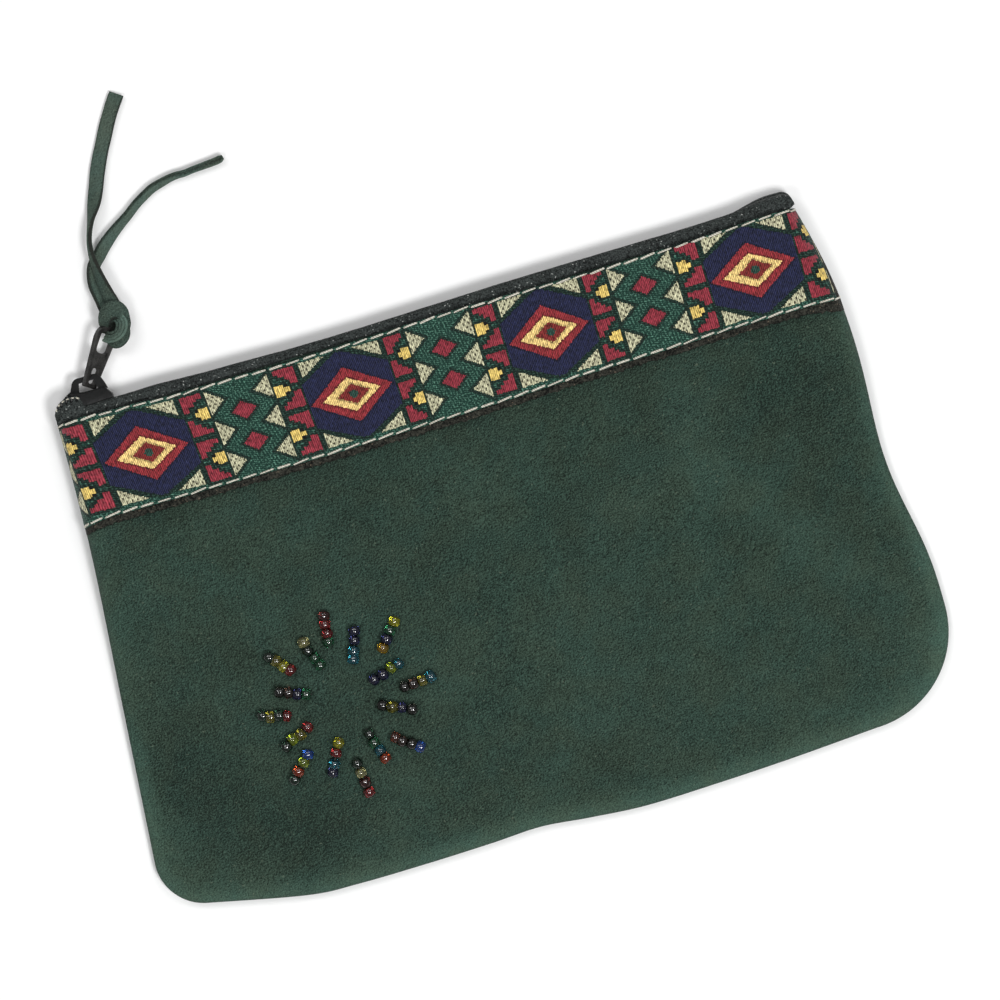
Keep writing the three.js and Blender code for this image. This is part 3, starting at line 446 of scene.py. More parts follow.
def woven_parts(u, v, grow=0.0):
    """The trim ribbon's figures: which are covered at a place along (u) and across (v) the pattern."""
    side = u - REPEAT * floor(u / REPEAT + 0.5)
    a, b = abs(side), abs(v)
    hexagon = (a < MEDALLION[0] + grow) * (b < MEDALLION[1] + grow)
    hexagon = hexagon * (b + a * MEDALLION_SLANT < MEDALLION_TIP + 1.1 * grow)
    red_diamond = diamond(abs(side - DIAMOND_MIDDLE), b, RED_DIAMOND, 0.1 * grow)
    gold = diamond(abs(side - DIAMOND_MIDDLE), b, GOLD_DIAMOND, 0.16 * grow)
    inner = abs(side - HEART_MIDDLE)
    heart = diamond(inner, b, HEART, 0.24 * grow)
    dot = (inner / DOT[0]) * (inner / DOT[0]) + (b / DOT[1]) * (b / DOT[1]) < 1
    corner = (a < CORNER_AT[0] + grow) * (b < CORNER_AT[1])
    corner = corner * diamond(CORNER_AT[0] - a, CORNER_AT[1] - b, CORNER, 0.28 * grow)
    step = 0
    for start, rise in CELL_STEPS:
        step = step + rise * (a > start + grow)
    upper = between(b, CELL_UPPER[0] - grow + step, CELL_UPPER[1] + grow)
    lower = between(b, CELL_LOWER[0] - grow, CELL_LOWER[1] + grow - step)
    cells = between(a, CELLS[0] - grow, CELLS[1] + grow) * (upper + lower)
    block = between(a, BLOCK_ALONG[0] - grow, BLOCK_ALONG[1] + grow)
    block = block * between(b, BLOCK_ACROSS[0] - grow, BLOCK_ACROSS[1] + grow)
    arm = between(a, ARM_ALONG[0] - grow, ARM_ALONG[1])
    arm = arm * between(b, ARM_ACROSS[0] - grow, ARM_ACROSS[1] + grow)
    flag = 0
    for middle in FLAG_ROWS:
        flag = flag + (a > FLAG_FOOT - grow) * diamond(a - FLAG_FOOT, abs(b - middle), FLAG, 0.45 * grow)
    lozenge = diamond(LOZENGE_AT[0] - a, abs(b - LOZENGE_AT[1]), LOZENGE, 0.5 * grow)
    return {
        "cream": corner + flag, "red": cells + lozenge, "yellow": block + arm, "navy": hexagon,
        "red_diamond": red_diamond, "gold": gold, "heart": heart, "dot": dot}


# Yarns of the figures, each laid over the ones before it
YARNS = {
    "red": rgb(144, 50, 62), "yellow": rgb(230, 200, 112), "navy": rgb(32, 36, 66),
    "red_diamond": rgb(146, 48, 54), "gold": rgb(246, 212, 136), "heart": rgb(126, 44, 42),
    "dot": rgb(40, 72, 62)}
UV_SCALE = 100  # millimetres of weave to one on the UV map


def ribbon_finish():
    """Woven trim: satin figures of upright yarns on a speckled green ground, with painted shade round the
    figures, in grooves and between yarns.
    """
    f = Finish("woven_ribbon")
    u, v = [part * UV_SCALE for part in f.split(f.place("UV"))[:2]]
    place = f.vector(u * MM, v * MM)
    picks = u / PICK
    step = (floor(picks) + 0.5) * PICK
    off = picks - floor(picks) - 0.5
    yarn = 1 - 4 * off * off
    fray = f.noise(f.vector(step * MM, v * 0.25 * MM), 0.5, 1.0)
    parts = woven_parts(step, v + 0.8 * (fray - 0.5))
    near = woven_parts(u, v, 0.7)
    bare, clear = 1, 1
    for name in ("navy", "red", "cream", "yellow"):
        bare = bare * (1 - parts[name])
        clear = clear * (1 - near[name])
    figure = 1 - bare
    # Painted shadow: the ground is darkened in a band about 0.7 mm wide round the raised figures.
    painted_shadow_round_figures = (1 - clear) * bare
    # A sunk line round the gold, heart and red diamond: lowered in the bump and darkened in the colour as
    # painted shade.
    groove_and_painted_shade = 0
    for name in ("red_diamond", "gold", "heart"):
        groove_and_painted_shade = groove_and_painted_shade + near[name] * (1 - parts[name])
    loose = f.noise(place, 0.42, 1.0, 0.6)
    strand = f.noise(f.vector(u * MM, v * 0.35 * MM), 0.36, 1.0)
    slow = f.noise(place, 2.4, 2.0)
    twill = wave((u * 0.9 + v * 1.2) * (2 * math.pi / 1.1)) * wave((u * 0.4 - v * 0.9) * (2 * math.pi / 1.05))
    lie = f.held(loose + 0.12 * twill, 0.5, 1.05)
    ground = f.lit(f.mix(lie, rgb(8, 46, 37), rgb(126, 182, 158)), 1 - 0.66 * painted_shadow_round_figures)
    rows = v / 0.86 + 0.7 * slow
    stagger = floor(rows) * 0.5 + u / 1.3
    hole = wave((stagger - floor(stagger)) * (2 * math.pi)) * wave((rows - floor(rows)) * math.pi)
    pitted = f.held(hole + 2.6 * (loose - 0.5), 0.3, 0.85)
    cream = f.mix(0.95 * pitted, rgb(202, 200, 166), rgb(58, 52, 36))
    color = f.mix(parts["cream"], ground, cream)
    for name, dyed in YARNS.items():
        color = f.mix(parts[name], color, dyed)
    # The colour is darker at each pick's edges, as painted shade between the yarns of the figures.
    line = f.held(abs(off), 0.28, 0.5)
    level = 1.1 - 0.4 * line * figure - 0.42 * groove_and_painted_shade + 2.9 * (strand - 0.5) * figure + 0.7 * (slow - 0.5)
    level = f.held(level, 0.2, 2.4, 0.2, 2.4)
    height = 0.8 * yarn * figure + 0.7 * loose + 0.4 * twill * bare
    height = height - 0.8 * pitted * parts["cream"] + 0.9 * figure
    return f.surface(
        Base_Color=f.lit(color, level), Roughness=0.7 - 0.2 * yarn * figure,
        Normal=f.bump(height - 0.5 * groove_and_painted_shade, 0.26, 0.95), Sheen_Weight=0.02, Specular_IOR_Level=0.28)


def felt_finish():
    """Backing strip: dark, fuzzy and speckled. Its dark colour is partly a black binding and partly painted
    shade under the ribbon's lower edge.
    """
    f = Finish("backing_strip")
    place = f.place()
    fuzz = f.noise(place, 0.42, 1.5, 0.6)
    tuft = f.noise(place, 1.6, 2.0)
    color = f.mix(f.held(fuzz + 0.5 * (tuft - 0.5), 0.35, 0.9), rgb(16, 17, 16), rgb(76, 76, 68))
    speck = f.held(f.noise(place, 0.6, 0.0), 0.72, 0.8)
    color = f.mix(0.4 * speck, color, rgb(136, 122, 104))
    return f.surface(
        Base_Color=color, Roughness=0.95, Normal=f.bump(fuzz + tuft, 0.3, 1.0), Sheen_Weight=0.03,
        Specular_IOR_Level=0.1)


def thread_finish(name, light, dark, size):
    """Sewing thread: fine twisted strands."""
    f = Finish(name)
    place = f.place()
    x, y, z = f.split(place)
    twist = wave((x + y * 0.9 + z * 0.6) * (2 * math.pi / (size * MM)))
    strand = f.noise(place, 0.3, 2.0)
    color = f.mix(f.held(strand + 0.16 * twist, 0.3, 0.62), dark, light)
    return f.surface(
        Base_Color=color, Roughness=0.6, Normal=f.bump(twist + strand, 0.08, 0.6), Sheen_Weight=0.1)


def tape_finish():
    """Zip tape: black twill with a few bright specks."""
    f = Finish("zip_tape")
    place = f.place()
    x, y = [part / MM for part in f.split(place)[:2]]
    rib = wave((x + 1.4 * y) * (2 * math.pi / 1.0)) * wave((x - 0.9 * y) * (2 * math.pi / 0.9))
    fine = f.noise(place, 0.4, 1.0, 0.6)
    worn = f.noise(place, 9.0, 2.0)
    shade = f.held(fine + 0.05 * rib + 0.3 * (worn - 0.5), 0.3, 1.0)
    color = f.mix(shade, rgb(16, 18, 18), rgb(84, 91, 89))
    speck = f.held(f.noise(place, 0.4, 0.0), 0.775, 0.83)
    color = f.mix(0.6 * speck, color, rgb(204, 204, 200))
    return f.surface(
        Base_Color=color, Roughness=0.85, Normal=f.bump(fine + 0.12 * rib, 0.12, 0.8), Sheen_Weight=0.02,
        Specular_IOR_Level=0.15)


def nylon_finish():
    """Zip coil: black moulded nylon."""
    f = Finish("zip_coil")
    place = f.place()
    grain = f.noise(place, 0.6, 2.0)
    color = f.mix(grain, rgb(12, 12, 13), rgb(30, 30, 31))
    return f.surface(Base_Color=color, Roughness=0.2 + 0.15 * grain, Coat_Weight=0.3, Coat_Roughness=0.1)


def enamel_finish(name, dark, light, shine):
    """Black enamelled casting, rubbed on its edges and faintly pitted."""
    f = Finish(name)
    place = f.place()
    pit = f.noise(place, 0.35, 3.0, 0.6)
    smear = f.noise(place, 2.2, 2.0)
    edge = f.carried("rubbed")
    color = f.mix(f.held(0.5 * smear + 0.5 * pit, 0.35, 0.7), dark, light)
    color = f.mix(edge * f.held(pit, 0.3, 0.6, 0.25, 0.9), color, rgb(128, 130, 130))
    return f.surface(
        Base_Color=color, Roughness=0.34 + 0.2 * smear, Metallic=0.3 + 0.35 * edge,
        Normal=f.bump(pit, 0.05, 0.35), Specular_IOR_Level=shine)


def bead_finish():
    """Glass beads, each with the colour that its points carry."""
    f = Finish("bead_glass")
    place = f.place()
    tint = f.carried("bead_tint", "Color")
    swirl = f.noise(place, 0.9, 2.0)
    color = f.mix(0.1, f.lit(tint, 0.5 + 0.6 * swirl), rgb(112, 118, 100))
    return f.surface(
        Base_Color=color, Roughness=0.08 + 0.06 * swirl, Transmission_Weight=BEAD_CLEAR, IOR=1.5,
        Specular_IOR_Level=0.45, Coat_Weight=0.6, Coat_Roughness=0.04)


# Meshes

def placed(name, data):
    """A new object in the scene, at the origin."""
    obj = bpy.data.objects.new(name, data)
    bpy.context.scene.collection.objects.link(obj)
    return obj


def give(mesh, name, values, kind="FLOAT", field="value"):
    """Values that the points of a mesh carry."""
    values = np.asarray(values, np.float32).ravel()
    mesh.attributes.new(name, kind, "POINT").data.foreach_set(field, values)


def piece(name, points, faces, material, uv=None, values=None, smooth=True):
    """A mesh object from points in millimetres, with its place in its mesh."""
    mesh = bpy.data.meshes.new(name)
    mesh.from_pydata((np.asarray(points, float) * MM).tolist(), [], [list(f) for f in faces])
    mesh.materials.append(material)
    if uv is not None:
        corner = np.empty(len(mesh.loops), int)
        mesh.loops.foreach_get("vertex_index", corner)
        mesh.uv_layers.new(name="UVMap").data.foreach_set("uv", np.asarray(uv, np.float32)[corner].ravel())
    for key, value in (values or {}).items():
        give(mesh, key, value)
    if smooth:
        mesh.shade_smooth()
    mesh.update()
    return placed(name, mesh)


def grid_faces(rows, columns, start=0, flip=False, wrap=False):
    """Quads of a grid of points. A wrapped grid joins its last column to its first."""
    faces = []
    across = columns if wrap else columns - 1
    for r in range(rows - 1):
        for c in range(across):
            a = start + r * columns + c
            b = start + r * columns + (c + 1) % columns
            face = (a, b, b + columns, a + columns)
            faces.append(face[::-1] if flip else face)
    return faces


def closed_sheet(upper, lower):
    """Points and faces of a sheet between two grids of one layout, with its rim closed."""
    rows, columns = upper.shape[:2]
    points = np.concatenate([upper.reshape(-1, 3), lower.reshape(-1, 3)])
    half = rows * columns
    faces = grid_faces(rows, columns) + grid_faces(rows, columns, half, flip=True)
    rim = [(0, c) for c in range(columns - 1)]
    rim += [(r, columns - 1) for r in range(rows - 1)]
    rim += [(rows - 1, c) for c in range(columns - 1, 0, -1)]
    rim += [(r, 0) for r in range(rows - 1, 0, -1)]
    loop = [r * columns + c for r, c in rim]
    for k, a in enumerate(loop):
        b = loop[(k + 1) % len(loop)]
        faces.append((b, a, a + half, b + half))
    return points, faces


def finished(obj):
    """The object with its modifiers made part of a plain mesh."""
    graph = bpy.context.evaluated_depsgraph_get()
    mesh = bpy.data.meshes.new_from_object(
        obj.evaluated_get(graph), preserve_all_data_layers=True, depsgraph=graph)
    obj.modifiers.clear()
    old = obj.data
    obj.data = mesh
    bpy.data.meshes.remove(old)
    mesh.name = obj.name
    return obj


# Outline and heights of the body

def left_side(y):
    """The body's left side at a height y."""
    share = (PANEL_TOP - y) / (PANEL_TOP - LEFT_CENTRE_Y)
    return -lerp(TOP_WIDTH / 2, FOOT_WIDTH / 2, share) + half_waves(LEFT_WAVES, share)


def right_side(y):
    """The body's right side at a height y."""
    share = (PANEL_TOP - y) / (PANEL_TOP - RIGHT_CENTRE_Y)
    return lerp(TOP_WIDTH / 2, FOOT_WIDTH / 2, share) + half_waves(RIGHT_WAVES, share)


def arc(x, y, radius, start, end, count):
    turn = np.radians(np.linspace(start, end, count))
    return np.stack([x + radius * np.cos(turn), y + radius * np.sin(turn)], 1)


def spline(points, count):
    """A curve through points, with each point's slope from its neighbours."""
    p = np.asarray(points, float)
    last = len(p) - 1
    out = []
    for t in np.linspace(0, last, count):
        k = min(int(t), last - 1)
        s = t - k
        before, after = p[max(k - 1, 0)], p[min(k + 2, last)]
        m0, m1 = (p[k + 1] - before) / 2, (after - p[k]) / 2
        out.append(
            (2 * s ** 3 - 3 * s ** 2 + 1) * p[k] + (s ** 3 - 2 * s ** 2 + s) * m0
            + (3 * s ** 2 - 2 * s ** 3) * p[k + 1] + (s ** 3 - s ** 2) * m1)
    return np.array(out)


def side_line(side, low, count):
    y = np.linspace(PANEL_TOP, low, count)
    return np.stack([side(y), y], 1)


LEFT_ARC = arc(-FOOT_WIDTH / 2 + LEFT_CORNER, LEFT_CENTRE_Y, LEFT_CORNER, 180, 255, 41)
RIGHT_ARC = arc(FOOT_WIDTH / 2 - RIGHT_CORNER, RIGHT_CENTRE_Y, RIGHT_CORNER, 270, 360, 61)
LEFT_LINE = side_line(left_side, LEFT_CENTRE_Y, 120)
RIGHT_LINE = side_line(right_side, RIGHT_CENTRE_Y, 120)
BOTTOM_LINE = spline(
    [LEFT_ARC[-1]]
    + [(lerp(LEFT_ARC[-1][0], RIGHT_ARC[0][0], share), BOTTOM_Y + lift) for share, lift in BOTTOM_SLACK]
    + [RIGHT_ARC[0]], 240)
SEWN = np.concatenate([LEFT_LINE, LEFT_ARC[1:], BOTTOM_LINE[1:], RIGHT_ARC[1:], RIGHT_LINE[::-1][1:]])
BATCH = 2000  # places that are measured at a time
# The front's soft folds: rise, both ends and width
FRONT_FOLDS = [
    (0.75, (53, 10), (92, -37), 5.0), (-0.4, (62, 18), (96, -20), 6.0), (0.35, (20, -52), (88, -40), 7.0)]
# Lighter and darker spots: place, size and how much lighter
TONE_SPOTS = [
    (-92, -55, 10, 0.15), (86, 20, 14, -0.22), (-74, -39, 17, -0.15), (-88, -23, 13, -0.2),
    (-60, -50, 9, -0.16), (8, -55, 10, -0.2), (35, -57, 16, -0.12), (10, -25, 16, 0.08), (50, -46, 22, 0.09),
    (95, -46, 8, 0.28), (-82, 20, 16, 0.13), (55, 18, 12, 0.15), (97, 8, 7, 0.25), (25, -49, 11, 0.13),
    (-40, -34, 10, 0.08), (84, -30, 9, -0.12)]
# A lighter line along the ridge of the first soft fold, as painted light: both ends and width
LIT_FOLD_RIDGE = ((50, 13), (92, -38), 6.0)


def sewn_distance(x, y):
    """Distance of each place from the sewn outline."""
    spots = np.stack([np.ravel(x), np.ravel(y)], 1)
    start, way = SEWN[:-1], SEWN[1:] - SEWN[:-1]
    square = (way ** 2).sum(1)
    best = np.empty(len(spots))
    for k in range(0, len(spots), BATCH):
        gap = spots[k:k + BATCH, None] - start[None]
        share = np.clip((gap * way).sum(2) / square, 0, 1)
        best[k:k + BATCH] = np.sqrt((((gap - share[..., None] * way) ** 2).sum(2)).min(1))
    return best.reshape(np.shape(x))


def seam_height(y):
    """How high the side seams lie above the table."""
    return lerp(EDGE_THICKNESS / 2, ZIP_Z, (y - BOTTOM_Y) / (PANEL_TOP - BOTTOM_Y))


def roll(distance, radius):
    """Share of the full height on a rounded rim."""
    left = 1 - np.clip(distance / radius, 0, 1)
    return np.sqrt(1 - left * left)


def crown_height(y, distance):
    """How high the front lies: full in its middle, flatter at the rims and under the trim."""
    trim = ease(y, STRIP_BOTTOM - SETTLE, STRIP_BOTTOM)
    rim = lerp(EDGE_THICKNESS, ZIP_THICKNESS, trim)
    middle = lerp(BELLY, ZIP_THICKNESS, trim)
    return lerp(rim, middle, ease(distance, 0, DOME_REACH))


def along_line(x, y, start, end):
    """Share of the way along a line, and the distance from it."""
    way = np.subtract(end, start)
    length = math.hypot(*way)
    share = ((x - start[0]) * way[0] + (y - start[1]) * way[1]) / length ** 2
    off = ((x - start[0]) * way[1] - (y - start[1]) * way[0]) / length
    return share, off


def soft_fold(x, y, start, end, width):
    """A soft ridge along a line, from 0 to 1."""
    share, off = along_line(x, y, start, end)
    ends = ease(share, -0.1, 0.25) * (1 - ease(share, 0.75, 1.1))
    return ends * bell(off, width)


def front_marks(x, y, distance):
    """Rise of the front's soft folds and handling marks."""
    free = ease(distance, 1.0, 16.0) * (1 - ease(y, STRIP_BOTTOM - 12, STRIP_BOTTOM - 2))
    rise = sum(gain * soft_fold(x, y, *fold) for gain, *fold in FRONT_FOLDS)
    rise = rise + 0.22 * ripple(x, y, 46, 3) + 0.1 * ripple(x, y, 17, 8)
    return rise * free


def suede_tone_and_painted_light(x, y, distance):
    """How much lighter or darker the suede is at a place: lighter near the bottom and left rims, painted
    light on the rolled rims, darker right at the seam, lighter and darker spots, painted light along a fold's
    ridge and painted shadow below the trim.
    """
    low = 1 - ease(y, -30, 5)
    right, left = ease(x, 60, 90), 1 - ease(x, -90, -60)
    tone = 0.24 * bell(distance, 8.0) * np.maximum(low, 0.7 * left)
    # The rolled rims are lighter, most along the bottom and the right: partly wear, partly painted light
    # where they catch it. Right at the seam the suede is darker.
    rim = np.maximum(1.7 * low, np.maximum(1.5 * right, 0.75 * left))
    tone = tone + 0.46 * bell(distance, 3.2) * rim - 0.3 * bell(distance, 0.6)
    for spot_x, spot_y, size, gain in TONE_SPOTS:
        tone = tone + gain * bell(np.hypot(x - spot_x, y - spot_y), size)
    # Painted light along the fold's ridge.
    tone = tone + 0.24 * soft_fold(x, y, *LIT_FOLD_RIDGE)
    # Painted shadow: the suede is darker just below the backing strip's edge, fading over a few millimetres.
    under = np.clip(sewn_line(LOWER_ROW, x) - STRIP_SHOWN - y, 0, None)
    return tone - 0.16 * np.exp(-under / 1.6) - 0.1 * np.exp(-under / 6.0)


def front_face(x, y):
    """Height of the front's suede at a place."""
    distance = sewn_distance(x, y)
    seam = seam_height(y) + PLY_GAP
    return lerp(seam, crown_height(y, distance), roll(distance, SEAM_ROLL)) + front_marks(x, y, distance)


PANEL_ACROSS, PANEL_DOWN = 190, 122  # lengths over which the panels' mesh is spaced
PANEL_MESH = (0.95, 0.42, 9)  # step, step at the rims, and how far the finer steps reach


def spaced(length, step, fine, reach, start, end):
    """Shares along a length, closer together near the chosen ends."""
    at = np.linspace(0, length, 4000)
    gap = np.minimum(at if start else length, length - at if end else length)
    density = 1 / lerp(fine, step, ease(gap, 0, reach))
    total = np.concatenate([[0], np.cumsum((density[1:] + density[:-1]) / 2 * np.diff(at))])
    count = int(round(total[-1]))
    return np.interp(np.linspace(0, total[-1], count + 1), total, at) / length


def resampled(line, shares):
    """Points at some shares of the way along a line."""
    gaps = run_along(line)
    return np.stack([np.interp(shares * gaps[-1], gaps, line[:, k]) for k in (0, 1)], 1)


def panel_grid():
    """A grid of places over the body, with even rows and columns between its four sides."""
    across = spaced(PANEL_ACROSS, *PANEL_MESH, True, True)
    down = spaced(PANEL_DOWN, *PANEL_MESH, False, True)
    mid_left, mid_right = len(LEFT_ARC) // 2, len(RIGHT_ARC) // 2
    left = resampled(np.concatenate([LEFT_LINE, LEFT_ARC[1:mid_left + 1]]), down)
    right = resampled(np.concatenate([RIGHT_LINE, RIGHT_ARC[::-1][1:mid_right + 1]]), down)
    top = resampled(np.array([LEFT_LINE[0], RIGHT_LINE[0]]), across)
    foot = np.concatenate([LEFT_ARC[mid_left:], BOTTOM_LINE[1:], RIGHT_ARC[1:mid_right + 1]])
    foot = resampled(foot, across)
    u, v = across[None, :, None], down[:, None, None]
    sides = lerp(top[None], foot[None], v) + lerp(left[:, None], right[:, None], u)
    grid = sides - lerp(lerp(top[0], top[-1], u), lerp(foot[0], foot[-1], u), v)
    return grid[..., 0], grid[..., 1]


def panels(finish):
    """Front and back of the pouch, each with the thickness of the hide."""
    x, y = panel_grid()
    distance = sewn_distance(x, y)
    rows, columns = x.shape
    shown = ease(distance, 0, 1.5)
    nap = 0.09 * ripple(x, y, 2.3, 21) + 0.07 * ripple(x, y, 4.6, 22)
    front_z = front_face(x, y) + nap * shown
    # Tone shift of the suede: wear, with painted light and painted shade.
    worn = suede_tone_and_painted_light(x, y, distance)
    pieces = []
    for name, z, flip in (
            ("front_panel_suede", front_z, True),
            ("back_panel_suede", lerp(seam_height(y), 0, roll(distance, SEAM_ROLL)), False)):
        points = np.stack([x, y, z], 2).reshape(-1, 3)
        obj = piece(name, points, grid_faces(rows, columns, flip=flip), finish, values={"worn": worn.ravel()})
        wall = obj.modifiers.new("hide", "SOLIDIFY")
        wall.thickness = SUEDE * MM
        wall.offset = -1
        pieces.append(finished(obj))
    return pieces


# Trim

def side_gap(x, y):
    """Distance from the nearer side seam."""
    return np.minimum(x - left_side(y), right_side(y) - x)


def wrapped_height(x, y, level, proud):
    """Height of a layer that lies flat on the front and goes down over the side seams."""
    seam = seam_height(y)
    return lerp(seam, level, roll(side_gap(x, y) + proud, SEAM_ROLL + proud))


def sewn_drift(x, y):
    """Rise of the ribbon and strip at a place, because they were sewn on by hand."""
    share = (y - RIBBON_BOTTOM) / (RIBBON_TOP - RIBBON_BOTTOM)
    low = sewn_line(LOWER_ROW, x) - HEM_BEYOND - RIBBON_BOTTOM
    high = sewn_line(UPPER_ROW, x) + HEM_BEYOND - RIBBON_TOP
    return lerp(low, high, share)


def band_columns(y, proud, step):
    """Places across the body at each height y, closer together over the side seams."""
    turn = np.radians(np.linspace(0, 90, 13))
    end = (SEAM_ROLL + proud) * (1 - np.cos(turn))
    left, right = left_side(y) - proud, right_side(y) + proud
    count = int((TOP_WIDTH - 2 * SEAM_ROLL) / step)
    inner = np.linspace(0, 1, count)[1:-1]
    start, stop = left + end[-1], right - end[-1]
    return np.concatenate([left + end, lerp(start, stop, inner), (right - end)[::-1]])


def band_sheet(name, rows_y, proud, level, thick, step, relief, finish, wander, tuck):
    """A strip of cloth across the front. Its UV map is its place in the weave."""
    x = np.stack([band_columns(y, proud, step) for y in rows_y])
    y = np.repeat(np.asarray(rows_y)[:, None], x.shape[1], 1)
    x = x - tuck * ease(x, 84, 96) * (1 - ease(y, 38, 60))
    z = wrapped_height(x, y, level, proud)
    steps = np.hypot(np.diff(x, axis=1), np.diff(z, axis=1))
    run = np.concatenate([np.zeros((len(x), 1)), np.cumsum(steps, 1)], 1)
    middle = x.shape[1] // 2
    along = seen(run - run[:, middle:middle + 1] + x[:, middle:middle + 1], EYE_X)
    flat = ease(side_gap(x, y), 0.3, 3.0)
    y = y + wander(x, y)
    v = seen(y, EYE_Y) - drift(WEAVE_ROW, along)
    u = drift(WEAVE_PLACES, along - v * drift(WEAVE_LEAN, along), 0.6)
    z = z + relief(u, v) * flat
    upper = np.stack([x, y, z], 2)
    lower = upper - np.array([0, 0, thick])
    points, faces = closed_sheet(upper, lower)
    uv = np.stack([u, v], 2).reshape(-1, 2) / UV_SCALE
    return piece(name, points, faces, finish, uv=np.concatenate([uv, uv]))


def weave_relief(u, v):
    """Rise of the woven figures above the ground."""
    parts = woven_parts(u, v)
    rise = 0.2 * np.clip(parts["navy"] + parts["cream"] + parts["red"] + parts["yellow"], 0, 1)
    for name, step in (("red_diamond", 0.05), ("gold", 0.05), ("heart", -0.04), ("dot", -0.06)):
        rise = rise + step * parts[name]
    return rise + 0.05 * ripple(u, v, 9, 5)


def ragged(x, y):
    """The strip's free edge is cut unevenly, and hangs lower at its right end."""
    edge = ease(-y, -RIBBON_BOTTOM, -STRIP_EDGE)
    uneven = 0.2 * ripple(x, 0 * y, 3.1, 11) + 0.2 * ripple(x, 0 * y, 1.3, 12)
    return sewn_drift(x, y) + edge * (uneven - 1.2 * ease(x, 84, 97))


def hem(x, y):
    """The ribbon's woven edges, nearly straight."""
    return sewn_drift(x, y) + 0.05 * ripple(x, 0 * y, 9, 31)


def fuzz(u, v):
    return 0.1 * ripple(u, v, 1.4, 13)


def trim(ribbon_material, strip_material):
    """The ribbon, and the backing strip that shows below it."""
    ribbon = band_sheet(
        "trim_ribbon_cloth", np.linspace(RIBBON_BOTTOM, RIBBON_TOP, 64), RIBBON_PROUD, RIBBON_FACE,
        RIBBON_THICK, PICK, weave_relief, ribbon_material, hem, RIBBON_TUCK)
    strip = band_sheet(
        "trim_backing_felt", np.linspace(STRIP_EDGE, RIBBON_TOP - 1, 60), STRIP_PROUD, STRIP_FACE,
        STRIP_THICK, STRIP_STEP, fuzz, strip_material, ragged, 0.0)
    return ribbon, strip


# Geometry node trees for what repeats

class Growth(Tree):
    """A geometry node tree with named inputs, grown on an object and made a plain mesh."""

    def __init__(self, name, sizes, counts=()):
        group = bpy.data.node_groups.new(name, "GeometryNodeTree")
        super().__init__(group)
        kinds = {"Geometry": "Geometry", **dict.fromkeys(sizes, "Float"), **dict.fromkeys(counts, "Int")}
        for key, kind in kinds.items():
            group.interface.new_socket(key, in_out="INPUT", socket_type="NodeSocket" + kind)
        group.interface.new_socket("Geometry", in_out="OUTPUT", socket_type="NodeSocketGeometry")
        self.start = self.node("NodeGroupInput")

    def ring(self, sides, radius):
        return self.node("GeometryNodeCurvePrimitiveCircle", {}, {"Resolution": sides, "Radius": radius})

    def tube(self, curve, ring, caps=True):
        """A mesh with a ring for its section along a curve."""
        sockets = {"Curve": curve, "Profile Curve": ring, "Fill Caps": caps}
        return self.node("GeometryNodeCurveToMesh", {}, sockets)

    def random(self, low, high, seed):
        sockets = {2: low, 3: high, "Seed": seed}
        return self.node("FunctionNodeRandomValue", {"data_type": "FLOAT"}, sockets, out=1)

    def carried(self, name, kind):
        """What the points of the mesh carry."""
        return self.node("GeometryNodeInputNamedAttribute", {"data_type": kind}, {"Name": name})

    def end(self, geometry, material=None):
        """The tree's last nodes: real faces, shaded smooth, with their material."""
        whole = self.node("GeometryNodeRealizeInstances", {}, {0: geometry})
        smooth = self.node("GeometryNodeSetShadeSmooth", {}, {0: whole})
        if material is not None:
            smooth = self.node("GeometryNodeSetMaterial", {}, {0: smooth, "Material": material})
        self.node("NodeGroupOutput", {}, {0: smooth})

    def grow(self, obj, values):
        """The object as a plain mesh, grown with the values of the tree's inputs."""
        modifier = obj.modifiers.new("grown", "NODES")
        modifier.node_group = self.tree
        for item in self.tree.interface.items_tree:
            if item.in_out == "INPUT" and item.name in values:
                modifier[item.identifier] = values[item.name]
        return finished(obj)


def line_object(name, *chains):
    """A mesh of points joined by edges, one chain of points after another."""
    points, edges = [], []
    for chain in chains:
        start = len(points)
        edges += [(start + k, start + k + 1) for k in range(len(chain) - 1)]
        points += (np.asarray(chain) * MM).tolist()
    mesh = bpy.data.meshes.new(name)
    mesh.from_pydata(points, edges, [])
    return placed(name, mesh)


ROW_STITCH = {"Pitch": 4.15 * MM, "Length": 3.6 * MM, "Thread": 0.48 * MM, "Slant": 0.085}
FLAP_STITCH = {"Pitch": 1.15 * MM, "Length": 0.62 * MM, "Thread": 0.36 * MM, "Slant": 0.0}


